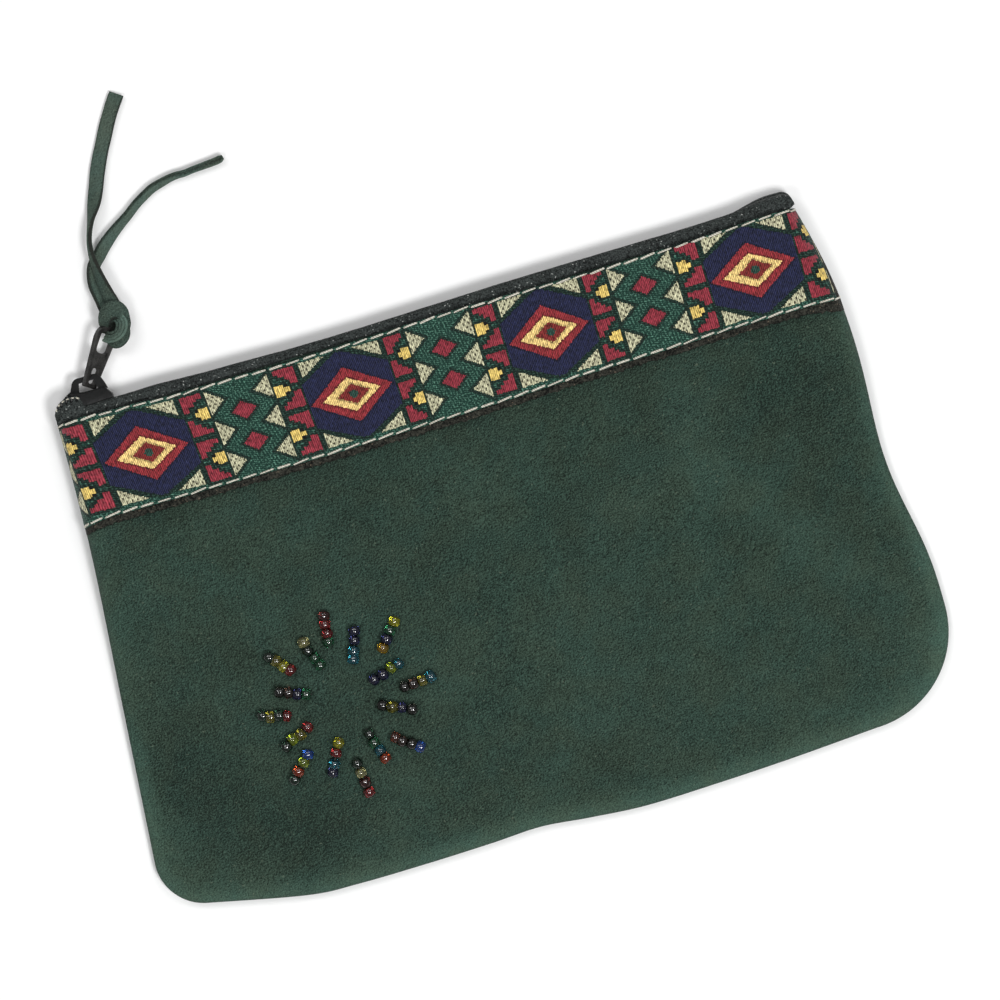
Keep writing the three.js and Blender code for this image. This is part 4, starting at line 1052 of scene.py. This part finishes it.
def stitch_growth(material):
    """Stitches along a line: each a thread that comes up, lies flat and goes down again."""
    tree = Growth("stitches", ("Pitch", "Length", "Thread", "Slant"), ("Seed",))
    start = tree.start
    half = start.pick("Length") * 0.5
    thread, slant, seed = start.pick("Thread"), start.pick("Slant"), start.pick("Seed")
    low = tree.vector(half * -1, 0.0, thread * -0.6)
    top = tree.vector(0.0, 0.0, thread * 1.2)
    high = tree.vector(half, 0.0, thread * -0.6)
    arch = tree.node(
        "GeometryNodeCurveQuadraticBezier", {}, {"Resolution": 12, "Start": low, "Middle": top, "End": high})
    share = tree.node("GeometryNodeSplineParameter", out="Factor")
    swell = 1 - abs(share * 2 - 1) ** 2.2
    fat = tree.node("GeometryNodeSetCurveRadius", {}, {"Curve": arch, "Radius": swell * 0.8 + 0.25})
    stitch = tree.tube(fat, tree.ring(8, thread * 0.5))
    curve = tree.node("GeometryNodeMeshToCurve", {}, {0: start})
    points = tree.node(
        "GeometryNodeCurveToPoints", {"mode": "LENGTH"}, {"Curve": curve, "Length": start.pick("Pitch")})
    aim = tree.node("FunctionNodeAlignRotationToVector", {"axis": "X"}, {"Vector": points.pick("Tangent")})
    tilt = tree.vector(0.0, 0.0, tree.random(slant * 0.4, slant * 1.6, seed))
    turned = tree.node(
        "FunctionNodeRotateRotation", {"rotation_space": "LOCAL"},
        {0: aim, 1: tree.node("FunctionNodeEulerToRotation", {}, {0: tilt})})
    scale = tree.vector(tree.random(0.82, 1.06, seed), tree.random(0.85, 1.2, seed + 31), 1.0)
    row = tree.node(
        "GeometryNodeInstanceOnPoints", {},
        {"Points": points, "Instance": stitch, "Rotation": turned, "Scale": scale})
    tree.end(row, material)
    return tree


def stitch_rows(material):
    """The two rows of cream stitches along the ribbon's edges."""
    tree = stitch_growth(material)
    rows = []
    for name, level, table, seed in (
            ("stitch_row_upper_thread", RIBBON_TOP - STITCH_INSET, UPPER_ROW, 4),
            ("stitch_row_lower_thread", RIBBON_BOTTOM + STITCH_INSET, LOWER_ROW, 9)):
        x = band_columns(level, RIBBON_PROUD, 0.8)[5:-5]
        y = sewn_line(table, x) + 0.06 * ripple(x, 0 * x, 7.0, seed)
        z = wrapped_height(x, level + 0 * x, RIBBON_FACE, RIBBON_PROUD) + 0.1
        obj = line_object(name, np.stack([x, y, z], 1))
        tree.grow(obj, {**ROW_STITCH, "Seed": seed})
        rows.append(obj)
    return rows


def wire_growth(material):
    """A round wire along a line."""
    tree = Growth("wire", ("Wire",), ("Sides",))
    curve = tree.node("GeometryNodeMeshToCurve", {}, {0: tree.start})
    wire = tree.tube(curve, tree.ring(tree.start.pick("Sides"), tree.start.pick("Wire")))
    tree.end(wire, material)
    return tree


def bead_growth(material, thread):
    """A bead with a hole on each sized point, turned along its axis, and a thread through them all."""
    tree = Growth("beads", ("Hole", "Wall", "Length"))
    start = tree.start
    hole, wall = start.pick("Hole"), start.pick("Wall")
    ring = tree.tube(tree.ring(24, hole + wall), tree.ring(12, wall), caps=False)
    stretch = tree.vector(1.0, 1.0, start.pick("Length") / (wall * 2))
    bead = tree.node("GeometryNodeTransform", {}, {"Geometry": ring, "Scale": stretch})
    axis = tree.carried("bead_axis", "FLOAT_VECTOR")
    size = tree.carried("bead_size", "FLOAT")
    aim = tree.node("FunctionNodeAlignRotationToVector", {"axis": "Z"}, {"Vector": axis})
    many = tree.node(
        "GeometryNodeInstanceOnPoints", {},
        {"Points": start, "Selection": size > 0.1, "Instance": bead, "Rotation": aim,
         "Scale": tree.vector(size, size, size)})
    glass = tree.node("GeometryNodeSetMaterial", {}, {0: many, "Material": material})
    curve = tree.node("GeometryNodeMeshToCurve", {}, {0: start})
    sewn = tree.tube(curve, tree.ring(6, hole * 0.5))
    cotton = tree.node("GeometryNodeSetMaterial", {}, {0: sewn, "Material": thread})
    both = tree.node("GeometryNodeJoinGeometry", {}, {0: glass})
    tree.tree.links.new(cotton.socket, both.socket.node.inputs[0])
    tree.end(both)
    return tree


# Zip

def zip_lift(x, y, z):
    """Rise of the zip at a place: a hump near its right end, its drift, and its rounded corner."""
    start = TAPE_X1 - HUMP_LENGTH
    share = lerp(1, HUMP_FRONT, (z - ZIP_Z + TAPE_LEG) / (2 * TAPE_LEG))
    rise = HUMP * share * ease(x, start, start + HUMP_RUN) + drift(FOLD_DRIFT, x)
    tip = np.clip(x - TAPE_X1 + TIP_LENGTH, 0, TIP_LENGTH)
    drop = TIP_DROP * (1 - np.sqrt(np.clip(1 - (tip / TIP_LENGTH) ** 2, 0, 1)))
    return rise - drop * np.clip((y - RIBBON_TOP) / (FOLD_Y - RIBBON_TOP), 0, 1)


def flap_edge(table, x):
    """Height of the free edge of a tape that stands open beyond the slider."""
    return np.interp(x, *np.array(table, float).T)


def tape_section(side):
    """Middle line of one tape, from inside the pouch round its fold, as y and z with its slope."""
    turn = np.radians(np.linspace(0, 90, 9))
    straight = np.linspace(FOLD_Y - TAPE_DROP, FOLD_Y - TAPE_HALF - FOLD_BEND, 16)[:-1]
    line = [(y, TAPE_LEG) for y in straight]
    line += [
        (FOLD_Y - TAPE_HALF - FOLD_BEND + FOLD_BEND * math.sin(t), TAPE_LEG - FOLD_BEND * (1 - math.cos(t)))
        for t in turn]
    line += [(FOLD_Y - TAPE_HALF, z) for z in np.linspace(TAPE_LEG - FOLD_BEND, TAPE_SPLIT, 5)[1:]]
    line = np.array(line)
    slope = unit(np.gradient(line, axis=0))
    outward = np.stack([-slope[:, 1], slope[:, 0]], 1)
    outer, inner = line + TAPE_HALF * outward, line - TAPE_HALF * outward
    return [np.stack([p[:, 0], ZIP_Z + side * p[:, 1]], 1) for p in (outer, inner)]


# Places across the tapes' mesh: first, last and count of each stretch
TAPE_STRETCHES = [
    (TAPE_X0, -82.6, 44), (-82, 64, 186), (64.8, TAPE_X1 - 3, 30), (TAPE_X1 - 3, TAPE_X1, 14)]


def zip_tapes(material):
    """Both halves of the zip's tape, folded along the zip and standing open at its left end."""
    tapes = []
    stations = np.unique(np.concatenate([np.linspace(*stretch) for stretch in TAPE_STRETCHES]))
    for name, side, table in (
            ("zip_tape_front_cloth", 1, FRONT_FLAP), ("zip_tape_back_cloth", -1, BACK_FLAP)):
        grids = []
        for out, part in zip((1, -1), tape_section(side)):
            steps = run_along(part)
            rise = np.clip((steps - TAPE_INSIDE) / (steps[-1] - TAPE_INSIDE), 0, 1)
            x = np.repeat(stations[None], len(part), 0)
            y, z, up = [np.repeat(k[:, None], len(stations), 1) for k in (*part.T, rise)]
            shown = ease(y, RIBBON_TOP - 1, RIBBON_TOP + 1)
            leg = np.clip(x, left_side(y) + 5, right_side(y) - 5)
            x = lerp(leg, x, ease(y, RIBBON_TOP - 1.5, RIBBON_TOP - 0.3))
            base = y
            y = y + zip_lift(x, y, z) + shown * 0.05 * ripple(x, z, 9, 42)
            z = z + shown * side * 0.08 * ripple(x, y, 14, 43)
            open_end = (1 - ease(x, OPEN_X0, OPEN_X1)) * (up > 0)
            flap_y = lerp(FOLD_Y - TAPE_DROP + TAPE_INSIDE, flap_edge(table, x), up)
            flap_z = ZIP_Z + side * (TAPE_LEG + out * TAPE_HALF + 0.12 * up * np.sin(x * 0.9))
            y = lerp(y, np.where(up > 0, flap_y, base), open_end)
            z = lerp(z, flap_z, open_end)
            grids.append(np.stack([x, y, z], 2))
        upper, lower = grids if side < 0 else grids[::-1]
        points, faces = closed_sheet(lower, upper)
        tapes.append(piece(name, points, faces, material))
    return tapes


def coil_line(side, shift):
    """A flattened helix along one edge of the zip, and one along the tape that stands open."""
    t = np.arange(int((COIL_X1 - COIL_X0) / COIL_PITCH) * COIL_STEPS + 1) / COIL_STEPS
    x = COIL_X0 + shift + t * COIL_PITCH
    turn = 2 * math.pi * t
    across = lerp(-0.2, COIL_REACH - 0.2, 0.5 - 0.5 * np.cos(turn))
    y = COIL_TOP - COIL_DEPTH / 2 + (COIL_DEPTH / 2 - 0.25) * np.sin(turn)
    z = ZIP_Z + side * across
    chain = np.stack([x, y + zip_lift(x, COIL_TOP + 0 * x, z), z], 1)
    t = np.arange(int(OPEN_COIL_LENGTH / COIL_PITCH) * COIL_STEPS + 1) / COIL_STEPS
    x = OPEN_COIL_X + shift + t * COIL_PITCH
    turn = 2 * math.pi * t
    y = flap_edge(FRONT_FLAP if side > 0 else BACK_FLAP, x) - 0.75 + 0.4 * np.sin(turn)
    z = ZIP_Z + side * (TAPE_LEG + 0.2 + 0.4 * np.cos(turn))
    return chain, np.stack([x, y, z], 1)


def zip_coils(material):
    """Both coils, half a turn apart so that they mesh."""
    tree = wire_growth(material)
    coils = []
    for name, side, shift in (
            ("zip_coil_front_wire", 1, 0.0), ("zip_coil_back_wire", -1, COIL_PITCH / 2)):
        obj = line_object(name, *coil_line(side, shift))
        coils.append(tree.grow(obj, {"Wire": COIL_WIRE * MM, "Sides": 7}))
    return coils


def flap_glint_stitches(material):
    """Short stitches that hold the coil on the tape where it stands open; their pale dots also stand in for
    glints on the coil's turns, as painted highlights.
    """
    x = np.linspace(OPEN_SEAM_X0, OPEN_SEAM_X1, 40)
    y = flap_edge(FRONT_FLAP, x) - 0.35
    z = np.full(len(x), ZIP_Z + TAPE_LEG + TAPE_HALF + 0.3)
    obj = line_object("zip_flap_glint_stitches", np.stack([x, y, z], 1))
    return stitch_growth(material).grow(obj, {**FLAP_STITCH, "Seed": 2})


# How far the slider's crown stands up along it. The tab's ring needs it low between its ends.
CROWN_X = (-87.3, -86.0, -85.0, -84.0, -83.2, -80.6, -78.6, -76.9)
CROWN_RISE = (1.9, 0.8, 0.6, 0.3, 0.03, 0.03, 0.2, 0.1)
CROWN_Y, CROWN_SHARE = (64.6, 67.2, 69.0), (0, 1, 0)
# Castings
WELD = 1e-6  # metres
FLAT_ANGLE, ROUND_ANGLE = math.radians(2), math.radians(28)
RUBBED_FROM, RUBBED_SPAN = 0.35, 0.5  # how sharply an edge turns, in radians
SLIDER_ROUND, TAB_ROUND = 0.22, 0.2


def crown_rise(x, y):
    """Rise of the slider's crown, which slopes down from its mouth."""
    return np.interp(x, CROWN_X, CROWN_RISE) * np.interp(y, CROWN_Y, CROWN_SHARE)


def softened_casting(node, name, width, material, rise=None):
    """A copy of a cast CAD solid with its edges rounded, and a value on what is rubbed."""
    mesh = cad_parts[node].data.copy()
    work = bmesh.new()
    work.from_mesh(mesh)
    bmesh.ops.remove_doubles(work, verts=work.verts, dist=WELD)
    bmesh.ops.dissolve_limit(work, angle_limit=FLAT_ANGLE, verts=work.verts, edges=work.edges)
    if rise is not None:
        for x in CROWN_X[1:-1]:
            parts = work.verts[:] + work.edges[:] + work.faces[:]
            bmesh.ops.bisect_plane(work, geom=parts, plane_co=(x * MM, 0, 0), plane_no=(1, 0, 0))
        for vert in work.verts:
            vert.co.y += rise(vert.co.x / MM, vert.co.y / MM) * MM
    work.to_mesh(mesh)
    work.free()
    mesh.materials.clear()
    mesh.materials.append(material)
    mesh.name = name
    obj = placed(name, mesh)
    bevel = obj.modifiers.new("rounded", "BEVEL")
    bevel.width = width * MM
    bevel.segments = 3
    bevel.limit_method = "ANGLE"
    bevel.angle_limit = ROUND_ANGLE
    finished(obj)
    work = bmesh.new()
    work.from_mesh(obj.data)
    bmesh.ops.triangulate(work, faces=[f for f in work.faces if len(f.verts) > 4])
    turn = [max((e.calc_face_angle(0.0) for e in v.link_edges), default=0.0) for v in work.verts]
    work.to_mesh(obj.data)
    work.free()
    give(obj.data, "rubbed", np.clip((np.array(turn) - RUBBED_FROM) / RUBBED_SPAN, 0, 1))
    obj.data.shade_smooth()
    return obj


# Lace

STRAP_SIDES = 16
STRAP_TURN = np.linspace(0, 2 * np.pi, STRAP_SIDES, endpoint=False)
SQUARENESS = 0.45  # of a strap's section: 1 is an ellipse, 0 a rectangle


def rounded_section(width, thick):
    """A strap's section, across it and through it."""
    c, s = [np.sign(k) * np.abs(k) ** SQUARENESS for k in (np.cos(STRAP_TURN), np.sin(STRAP_TURN))]
    return np.stack([width / 2 * c, thick / 2 * s], 1)


def strap(line, across, width, thick):
    """Points and faces of a flat strap along a line, with a direction across it at each point."""
    line = np.asarray(line, float)
    along = unit(np.gradient(line, axis=0))
    across = unit(across - (across * along).sum(1)[:, None] * along)
    above = np.cross(along, across)
    width = np.broadcast_to(width, len(line))
    thick = np.broadcast_to(thick, len(line))
    rings = []
    for k in range(len(line)):
        section = rounded_section(width[k], thick[k])
        rings.append(line[k] + section[:, :1] * across[k] + section[:, 1:] * above[k])
    points = np.concatenate(rings)
    faces = grid_faces(len(line), STRAP_SIDES, wrap=True)
    faces.append(tuple(range(STRAP_SIDES))[::-1])
    faces.append(tuple(range(len(points) - STRAP_SIDES, len(points))))
    return points, faces


def strap_painted_light(stations, face, edge):
    """How light each point of a strap is made: its face as painted light and shade, and its cut edges darker,
    partly their own colour and partly painted shade.
    """
    side = np.abs(np.cos(STRAP_TURN)) ** 6
    return (np.broadcast_to(face, stations)[:, None] - edge * side).ravel()


def twisted(line, turns):
    """A direction across the line, turned about it by some degrees from level."""
    along = unit(np.gradient(line, axis=0))
    level = unit(np.cross(np.array([0, 0, 1.0]), along))
    above = np.cross(along, level)
    turn = np.radians(turns)[:, None]
    return np.cos(turn) * level + np.sin(turn) * above


# The tails from the knot to their cut ends: place, height and turn from level in degrees
LEFT_TAIL = [
    (-70.1, 83.4, 5.9, -8), (-70.35, 85.0, 6.2, -12), (-70.65, 86.6, 6.3, -20), (-71.06, 88.5, 6.3, -34),
    (-71.5, 91.2, 6.3, -50), (-71.97, 94.76, 6.0, -64), (-72.2, 98.3, 5.6, -74), (-71.92, 101.21, 5.0, -80),
    (-71.2, 103.7, 4.5, -80), (-69.96, 106.59, 3.8, -70), (-68.19, 110.04, 2.8, -38),
    (-66.65, 113.55, 2.0, -22), (-65.23, 117.1, 1.55, -18), (-63.57, 120.59, 1.35, -17),
    (-61.69, 124.0, 1.3, -17), (-59.81, 127.42, 1.3, -17), (-57.7, 130.77, 1.3, -16),
    (-55.6, 133.7, 1.25, -14)]
RIGHT_TAIL = [
    (-72.4, 83.4, 4.6, 40), (-72.65, 84.9, 4.5, 42), (-72.9, 86.2, 4.4, 44), (-73.1, 87.65, 4.1, 48),
    (-73.35, 89.2, 3.7, 50), (-73.6, 91.28, 3.1, 50), (-73.28, 93.68, 2.4, 46), (-72.4, 95.9, 2.0, 42),
    (-70.56, 97.84, 1.85, 40), (-68.78, 99.66, 1.85, 42), (-66.14, 101.86, 1.85, 44),
    (-63.64, 103.6, 1.85, 46), (-61.17, 105.23, 1.85, 47), (-58.63, 107.08, 1.85, 48),
    (-56.23, 108.48, 1.85, 50), (-53.9, 109.65, 1.85, 54), (-51.74, 110.25, 1.85, 60),
    (-49.61, 110.74, 1.85, 68), (-47.54, 111.0, 1.85, 77), (-45.58, 110.95, 1.85, 85),
    (-43.52, 111.17, 1.85, 89), (-41.49, 111.31, 1.85, 90), (-37.43, 111.6, 1.85, 90),
    (-35.56, 112.04, 1.85, 90)]
TAIL_STEPS = 130
TAIL_NECK = 3.3  # width near the knot
# The cut edges' darkness is partly their own colour and partly painted shade.
TAIL_EDGE = 0.95  # how much darker its cut edges are


def lace_tail(name, route, width, thick, tip, face, material):
    """One tail of the lace, and its middle line and length."""
    route = spline(route, TAIL_STEPS)
    line = route[:, :3]
    eye = np.array([EYE_X, EYE_Y])
    line[:, :2] = eye + (line[:, :2] - eye) * (EYE_HEIGHT - line[:, 2:]) / (EYE_HEIGHT - EYE_LEVEL)
    across = twisted(line, route[:, 3])
    run = run_along(line)
    left = run[-1] - run
    wide = lerp(TAIL_NECK, width, ease(run, 18, 30)) * (1 + 0.03 * ripple(run, 0 * run, 9, 51))
    thick = lerp(thick, tip, ease(-left, -12, -2)) * (1 - 0.4 * ease(-left, -0.9, 0))
    points, faces = strap(line, across, wide, thick)
    # Painted light and shade: the face is as light as its face value and darker over its first 8 to 22 mm
    # from the knot, and its cut edges are darker.
    worn = strap_painted_light(len(line), lerp(face - 0.26, face, ease(run, 8, 22)), TAIL_EDGE)
    obj = piece(name, points, faces, material, values={"worn": worn})
    crisp_ends(obj)
    return obj, line, run[-1]


def crisp_ends(obj):
    """Cut ends keep a sharp edge."""
    for face in obj.data.polygons:
        if len(face.vertices) > 4:
            face.use_smooth = False


# The hitch: the middle line of its bunched inner bight, and the outer one round the knot's middle
# as turn, reach, height and width
HITCH_INNER = [
    (-72.2, 83.4, 6.2), (-71.0, 83.0, 7.0), (-70.2, 82.1, 7.4), (-69.95, 80.9, 7.5), (-70.6, 79.5, 7.3),
    (-72.0, 78.55, 6.9), (-73.5, 78.45, 6.2), (-74.3, 78.9, 5.2)]
HITCH_OUTER = [
    (172, 2.6, 4.4, 1.8), (160, 2.55, 6.0, 2.5), (145, 2.5, 7.2, 3.1), (122, 2.7, 8.2, 3.9),
    (94, 3.2, 8.5, 4.6), (70, 3.5, 8.4, 4.6), (45, 3.15, 7.6, 4.0), (16, 2.55, 6.2, 3.0),
    (-14, 2.4, 5.6, 2.7), (-40, 2.45, 5.4, 2.6), (-64, 3.2, 5.4, 2.8), (-82, 3.9, 5.2, 2.7),
    (-106, 4.4, 4.8, 2.6), (-126, 3.9, 4.0, 1.9), (-140, 3.3, 3.0, 1.5)]
HITCH_BEHIND = [(-74.6, 82.4, 3.6), (-73.4, 81.6, 4.0), (-72.2, 80.6, 4.2), (-71.2, 79.4, 4.0)]
# Strands of the inner bight: how far out, and how light each is painted, as painted light and shade
HITCH_STRANDS = [(-1.05, -0.1), (-0.35, 0.1), (0.35, 0.45), (1.05, 0.75)]
STRAND_WIDTH = 0.74


def lace_knot(material):
    """The lace hitched through the tab's end: an inner bight, a wide one round it and a fold behind."""
    points, faces, worn = [], [], []
    middle = np.array([*KNOT_MIDDLE, 0])
    turn, reach, height, wide = spline(HITCH_OUTER, 110).T
    turn = np.radians(turn)
    outer = middle + np.stack([reach * np.cos(turn), reach * np.sin(turn), height], 1)
    # Each band's face value is how light it is painted, as painted light and shade: the wide outer band a
    # little darker, as painted shade.
    bands = [(outer, wide, 1.5, 0.45, -0.12, 0.75)]  # line, width, thickness, slope, face, edge
    inner = spline(HITCH_INNER, 64)
    for number, (shift, face) in enumerate(HITCH_STRANDS):
        out = unit((inner - middle) * (1, 1, 0))
        wander = shift + 0.14 * ripple(inner[:, 0], inner[:, 1], 4.0, 61 + number)
        lift = np.array([0, 0, 0.35 - 0.3 * abs(shift)])
        bands.append((inner + wander[:, None] * out + lift, STRAND_WIDTH, 1.6, 0.2, face, 0.9))
    behind = spline(HITCH_BEHIND, 24)
    # The fold behind is painted much darker, as painted shade.
    bands.append((behind, 4.4, 1.4, 0.0, -0.55, 0.2))
    for line, wide, thick, slope, face, edge in bands:
        out = unit((line - middle) * (1, 1, 0))
        if line is behind:
            out = np.repeat(np.array([[0.7, 0.7, 0.0]]), len(line), 0)
        more, quads = strap(line, out - slope * np.array([0, 0, 1.0]), wide, thick)
        faces += [tuple(k + len(points) for k in f) for f in quads]
        points += more.tolist()
        worn += strap_painted_light(len(line), face, edge).tolist()
    return piece("lace_knot_hitch", points, faces, material, values={"worn": worn})


# Beads

TINTS = {
    "red": rgb(160, 12, 28), "wine": rgb(92, 8, 18), "leaf": rgb(18, 108, 68),
    "bottle": rgb(10, 56, 40), "gold": rgb(206, 164, 26), "lemon": rgb(214, 210, 34),
    "lime": rgb(164, 184, 34), "olive": rgb(142, 136, 32), "navy": rgb(13, 15, 84),
    "blue": rgb(34, 96, 196), "teal": rgb(16, 122, 142), "brown": rgb(56, 20, 14),
    "amber": rgb(198, 72, 18), "straw": rgb(200, 196, 136), "black": rgb(10, 10, 14),
    "rust": rgb(122, 46, 22)}
# Each string: its outer and inner bead, and the colours from outer to inner.
STRINGS = [
    (-43.5, 0.4, -44.1, -5.6, "wine red red leaf"),
    (-49.8, -4.2, -47.5, -10.3, "straw bottle leaf leaf"),
    (-58.6, -5.1, -54.5, -9.7, "bottle olive lemon red"),
    (-58.7, -13.9, -52.6, -16.0, "black brown navy leaf"),
    (-64.2, -18.0, -58.5, -19.7, "bottle olive bottle red"),
    (-60.8, -26.7, -54.5, -23.9, "bottle lime olive red"),
    (-61.0, -34.9, -56.2, -29.8, "bottle amber lime blue"),
    (-52.0, -35.6, -48.7, -29.6, "navy teal red lemon"),
    (-44.9, -42.6, -45.7, -35.2, "red wine straw bottle"),
    (-38.9, -36.0, -41.0, -29.4, "amber teal leaf bottle"),
    (-30.4, -35.7, -35.2, -31.8, "blue black brown rust"),
    (-29.6, -26.6, -36.0, -23.7, "black navy olive black"),
    (-23.2, -20.5, -29.8, -21.0, "teal olive brown black"),
    (-29.4, -15.4, -36.1, -17.2, "teal lime navy navy"),
    (-27.9, -5.4, -32.2, -10.8, "lemon leaf navy gold"),
    (-37.5, -5.1, -39.6, -11.4, "navy navy teal teal")]


def bead_strings(material, thread):
    """The sunburst: sixteen strings of four beads, lying on the front."""
    tree = bead_growth(material, thread)
    draw = np.random.default_rng(17)
    strings = []
    for number, (x0, y0, x1, y1, names) in enumerate(STRINGS, 1):
        share = np.arange(4) / 3
        x, y = lerp(x0, x1, share), lerp(y0, y1, share)
        size = draw.uniform(*BEAD_SIZES, 4)
        z = front_face(x, y) + BEAD_RADIUS * size + BEAD_SEAT
        spots = np.stack([x, y, z], 1)
        way = unit(spots[-1] - spots[0])
        axis = way + draw.normal(0, BEAD_TILT, (4, 3))
        stray = [draw.normal(0, BEAD_STRAY, 4) for _ in range(2)]
        spots = spots + np.stack([*stray, np.zeros(4)], 1)
        low = np.array([0, 0, BEAD_RADIUS + THREAD_SINK])
        ends = [spots[0] - THREAD_REACH * way - low, spots[-1] + THREAD_REACH * way - low]
        spots = np.concatenate([ends[:1], spots, ends[1:]])
        obj = line_object(f"bead_string_{number:02d}_glass", spots)
        names = names.split()
        tint = [(*TINTS[name], 1.0) for name in [names[0], *names, names[-1]]]
        give(obj.data, "bead_axis", [axis[0], *axis, axis[-1]], "FLOAT_VECTOR", "vector")
        give(obj.data, "bead_size", [0, *size, 0])
        give(obj.data, "bead_tint", tint, "FLOAT_COLOR", "color")
        strings.append(tree.grow(obj, {
            "Hole": BEAD_HOLE * MM, "Wall": (BEAD_RADIUS - BEAD_HOLE) / 2 * MM, "Length": BEAD_LENGTH * MM}))
    return strings


# Stage

def camera():
    """Straight down on the pouch, turned as it lies in the picture."""
    data = bpy.data.cameras.new("camera")
    data.sensor_width = SENSOR
    data.lens = SENSOR * (EYE_HEIGHT - EYE_LEVEL) / PICTURE_WIDTH
    obj = placed("camera", data)
    place = Matrix.Translation((EYE_X * MM, EYE_Y * MM, EYE_HEIGHT * MM))
    obj.matrix_world = place @ Matrix.Rotation(-math.radians(PICTURE_TURN), 4, "Z")
    bpy.context.scene.camera = obj


# Place and size in metres, and power in watts
SOFTBOXES = [
    ("key_softbox", (0.26, -0.4, 1.25), 0.28, 9.2), ("side_softbox", (-0.34, -0.3, 1.25), 0.28, 2.8),
    ("fill_softbox", (-0.4, 0.6, 1.35), 0.6, 4.8), ("right_softbox", (0.55, 0.45, 1.3), 0.6, 3.2)]
WORLD_LIGHT = 0.2
FLOOR_HALF = 3000.0
FLOOR_Z = -0.05


def softbox(name, place, size, power):
    """A square soft lamp that faces the pouch."""
    data = bpy.data.lights.new(name, "AREA")
    data.shape = "RECTANGLE"
    data.size, data.size_y = size, size
    data.energy = power
    obj = placed(name, data)
    obj.location = place
    obj.rotation_mode = "QUATERNION"
    obj.rotation_quaternion = (-Vector(place)).to_track_quat("-Z", "Y")


def stage():
    """Pale floor, plain world and four soft lamps."""
    scene = bpy.context.scene
    scene.view_settings.view_transform = "Standard"
    world = bpy.data.worlds.new("studio")
    scene.world = world
    world.use_nodes = True
    sky = Tree(world.node_tree)
    light = sky.node("ShaderNodeBackground", {}, {"Color": (1.0, 1.0, 1.0, 1.0), "Strength": WORLD_LIGHT})
    sky.node("ShaderNodeOutputWorld", {}, {"Surface": light})
    floor_finish = Finish("paper_floor")
    grain = floor_finish.noise(floor_finish.place(), 40.0, 2.0)
    tone = floor_finish.lit((1.0, 1.0, 1.0), 0.96 + 0.01 * grain)
    material = floor_finish.surface(Base_Color=tone, Roughness=0.9, Specular_IOR_Level=0.1)
    corners = [(x * FLOOR_HALF, y * FLOOR_HALF, FLOOR_Z) for x, y in ((-1, -1), (1, -1), (1, 1), (-1, 1))]
    ground = piece("studio_floor", corners, [(0, 1, 2, 3)], material, smooth=False)
    for lamp in SOFTBOXES:
        softbox(*lamp)


def carry(obj, body, slot, *nodes):
    """A finished piece rides on its body and stands for its CAD nodes."""
    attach(obj, body)
    if nodes:
        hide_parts(*nodes)


# Tails: piece, route, width, thickness, thickness at the tip, how light its face is painted as painted light,
# and node
TAILS = [
    ("lace_tail_left_strap", LEFT_TAIL, 3.7, LACE_THICK, LACE_THICK, 0.14, "lace_tail_left"),
    ("lace_tail_right_strap", RIGHT_TAIL, 2.25, 1.5, 1.8, 0.4, "lace_tail_right")]
BEAD_SLOTS = ("bead_red", "bead_green", "bead_gold", "bead_blue")


def build():
    """Every piece, with the body it rides on and the node it stands for."""
    camera()
    stage()
    lace = suede_finish("lace_suede", rgb(67, 81, 73), 1.7, 0.45)
    knot = lace_knot(lace)
    carry(knot, "pull_tab", "lace", "lace_knot")
    for (*shape, node), hitch in zip(TAILS, ([knot], [])):
        tail, line, length = lace_tail(*shape, lace)
        carry(tail, "pull_tab", "lace", node)
        tuple(line[0] * MM)
        length * MM
        (line * MM).tolist()
    suede = suede_finish("green_suede", rgb(47, 64, 55), 3.3, 0.85)
    for obj, node in zip(panels(suede), ("front_panel", "back_panel")):
        carry(obj, "pouch", "suede", node)
    ribbon, strip = trim(ribbon_finish(), felt_finish())
    carry(ribbon, "pouch", "woven_ribbon", "trim_ribbon")
    carry(strip, "pouch", "backing_strip", "trim_backing_strip")
    cream = thread_finish("cream_thread", rgb(228, 224, 210), rgb(148, 142, 126), 0.7)
    for obj, node in zip(stitch_rows(cream), ("stitch_row_upper", "stitch_row_lower")):
        carry(obj, "pouch", "stitching", node)
    carry(flap_glint_stitches(cream), "pouch", "stitching")
    for obj, node in zip(zip_tapes(tape_finish()), ("zip_tape_front", "zip_tape_back")):
        carry(obj, "pouch", "zip_tape", node)
    for obj, node in zip(zip_coils(nylon_finish()), ("zip_coil_front", "zip_coil_back")):
        carry(obj, "pouch", "zip_coil", node)
    enamel = enamel_finish("zip_metal", rgb(7, 8, 8), rgb(26, 27, 27), 0.17)
    tab_enamel = enamel_finish("tab_metal", rgb(22, 22, 22), rgb(74, 73, 71), 0.3)
    slider = softened_casting("zip_slider", "zip_slider_cast", SLIDER_ROUND, enamel, crown_rise)
    carry(slider, "slider", "zip_metal", "zip_slider")
    tab = softened_casting("zip_pull_tab", "zip_pull_tab_cast", TAB_ROUND, tab_enamel)
    carry(tab, "pull_tab", "zip_metal", "zip_pull_tab")
    for node in ("zip_top_stop_front", "zip_top_stop_back", "zip_bottom_stop"):
        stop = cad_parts[node].data
        stop.materials.clear()
        stop.materials.append(enamel)
    cotton = thread_finish("bead_thread", rgb(52, 60, 52), rgb(20, 24, 20), 0.4)
    for number, obj in enumerate(bead_strings(bead_finish(), cotton)):
        carry(obj, "pouch", BEAD_SLOTS[number % len(BEAD_SLOTS)], f"bead_string_{number + 1:02d}")


build()
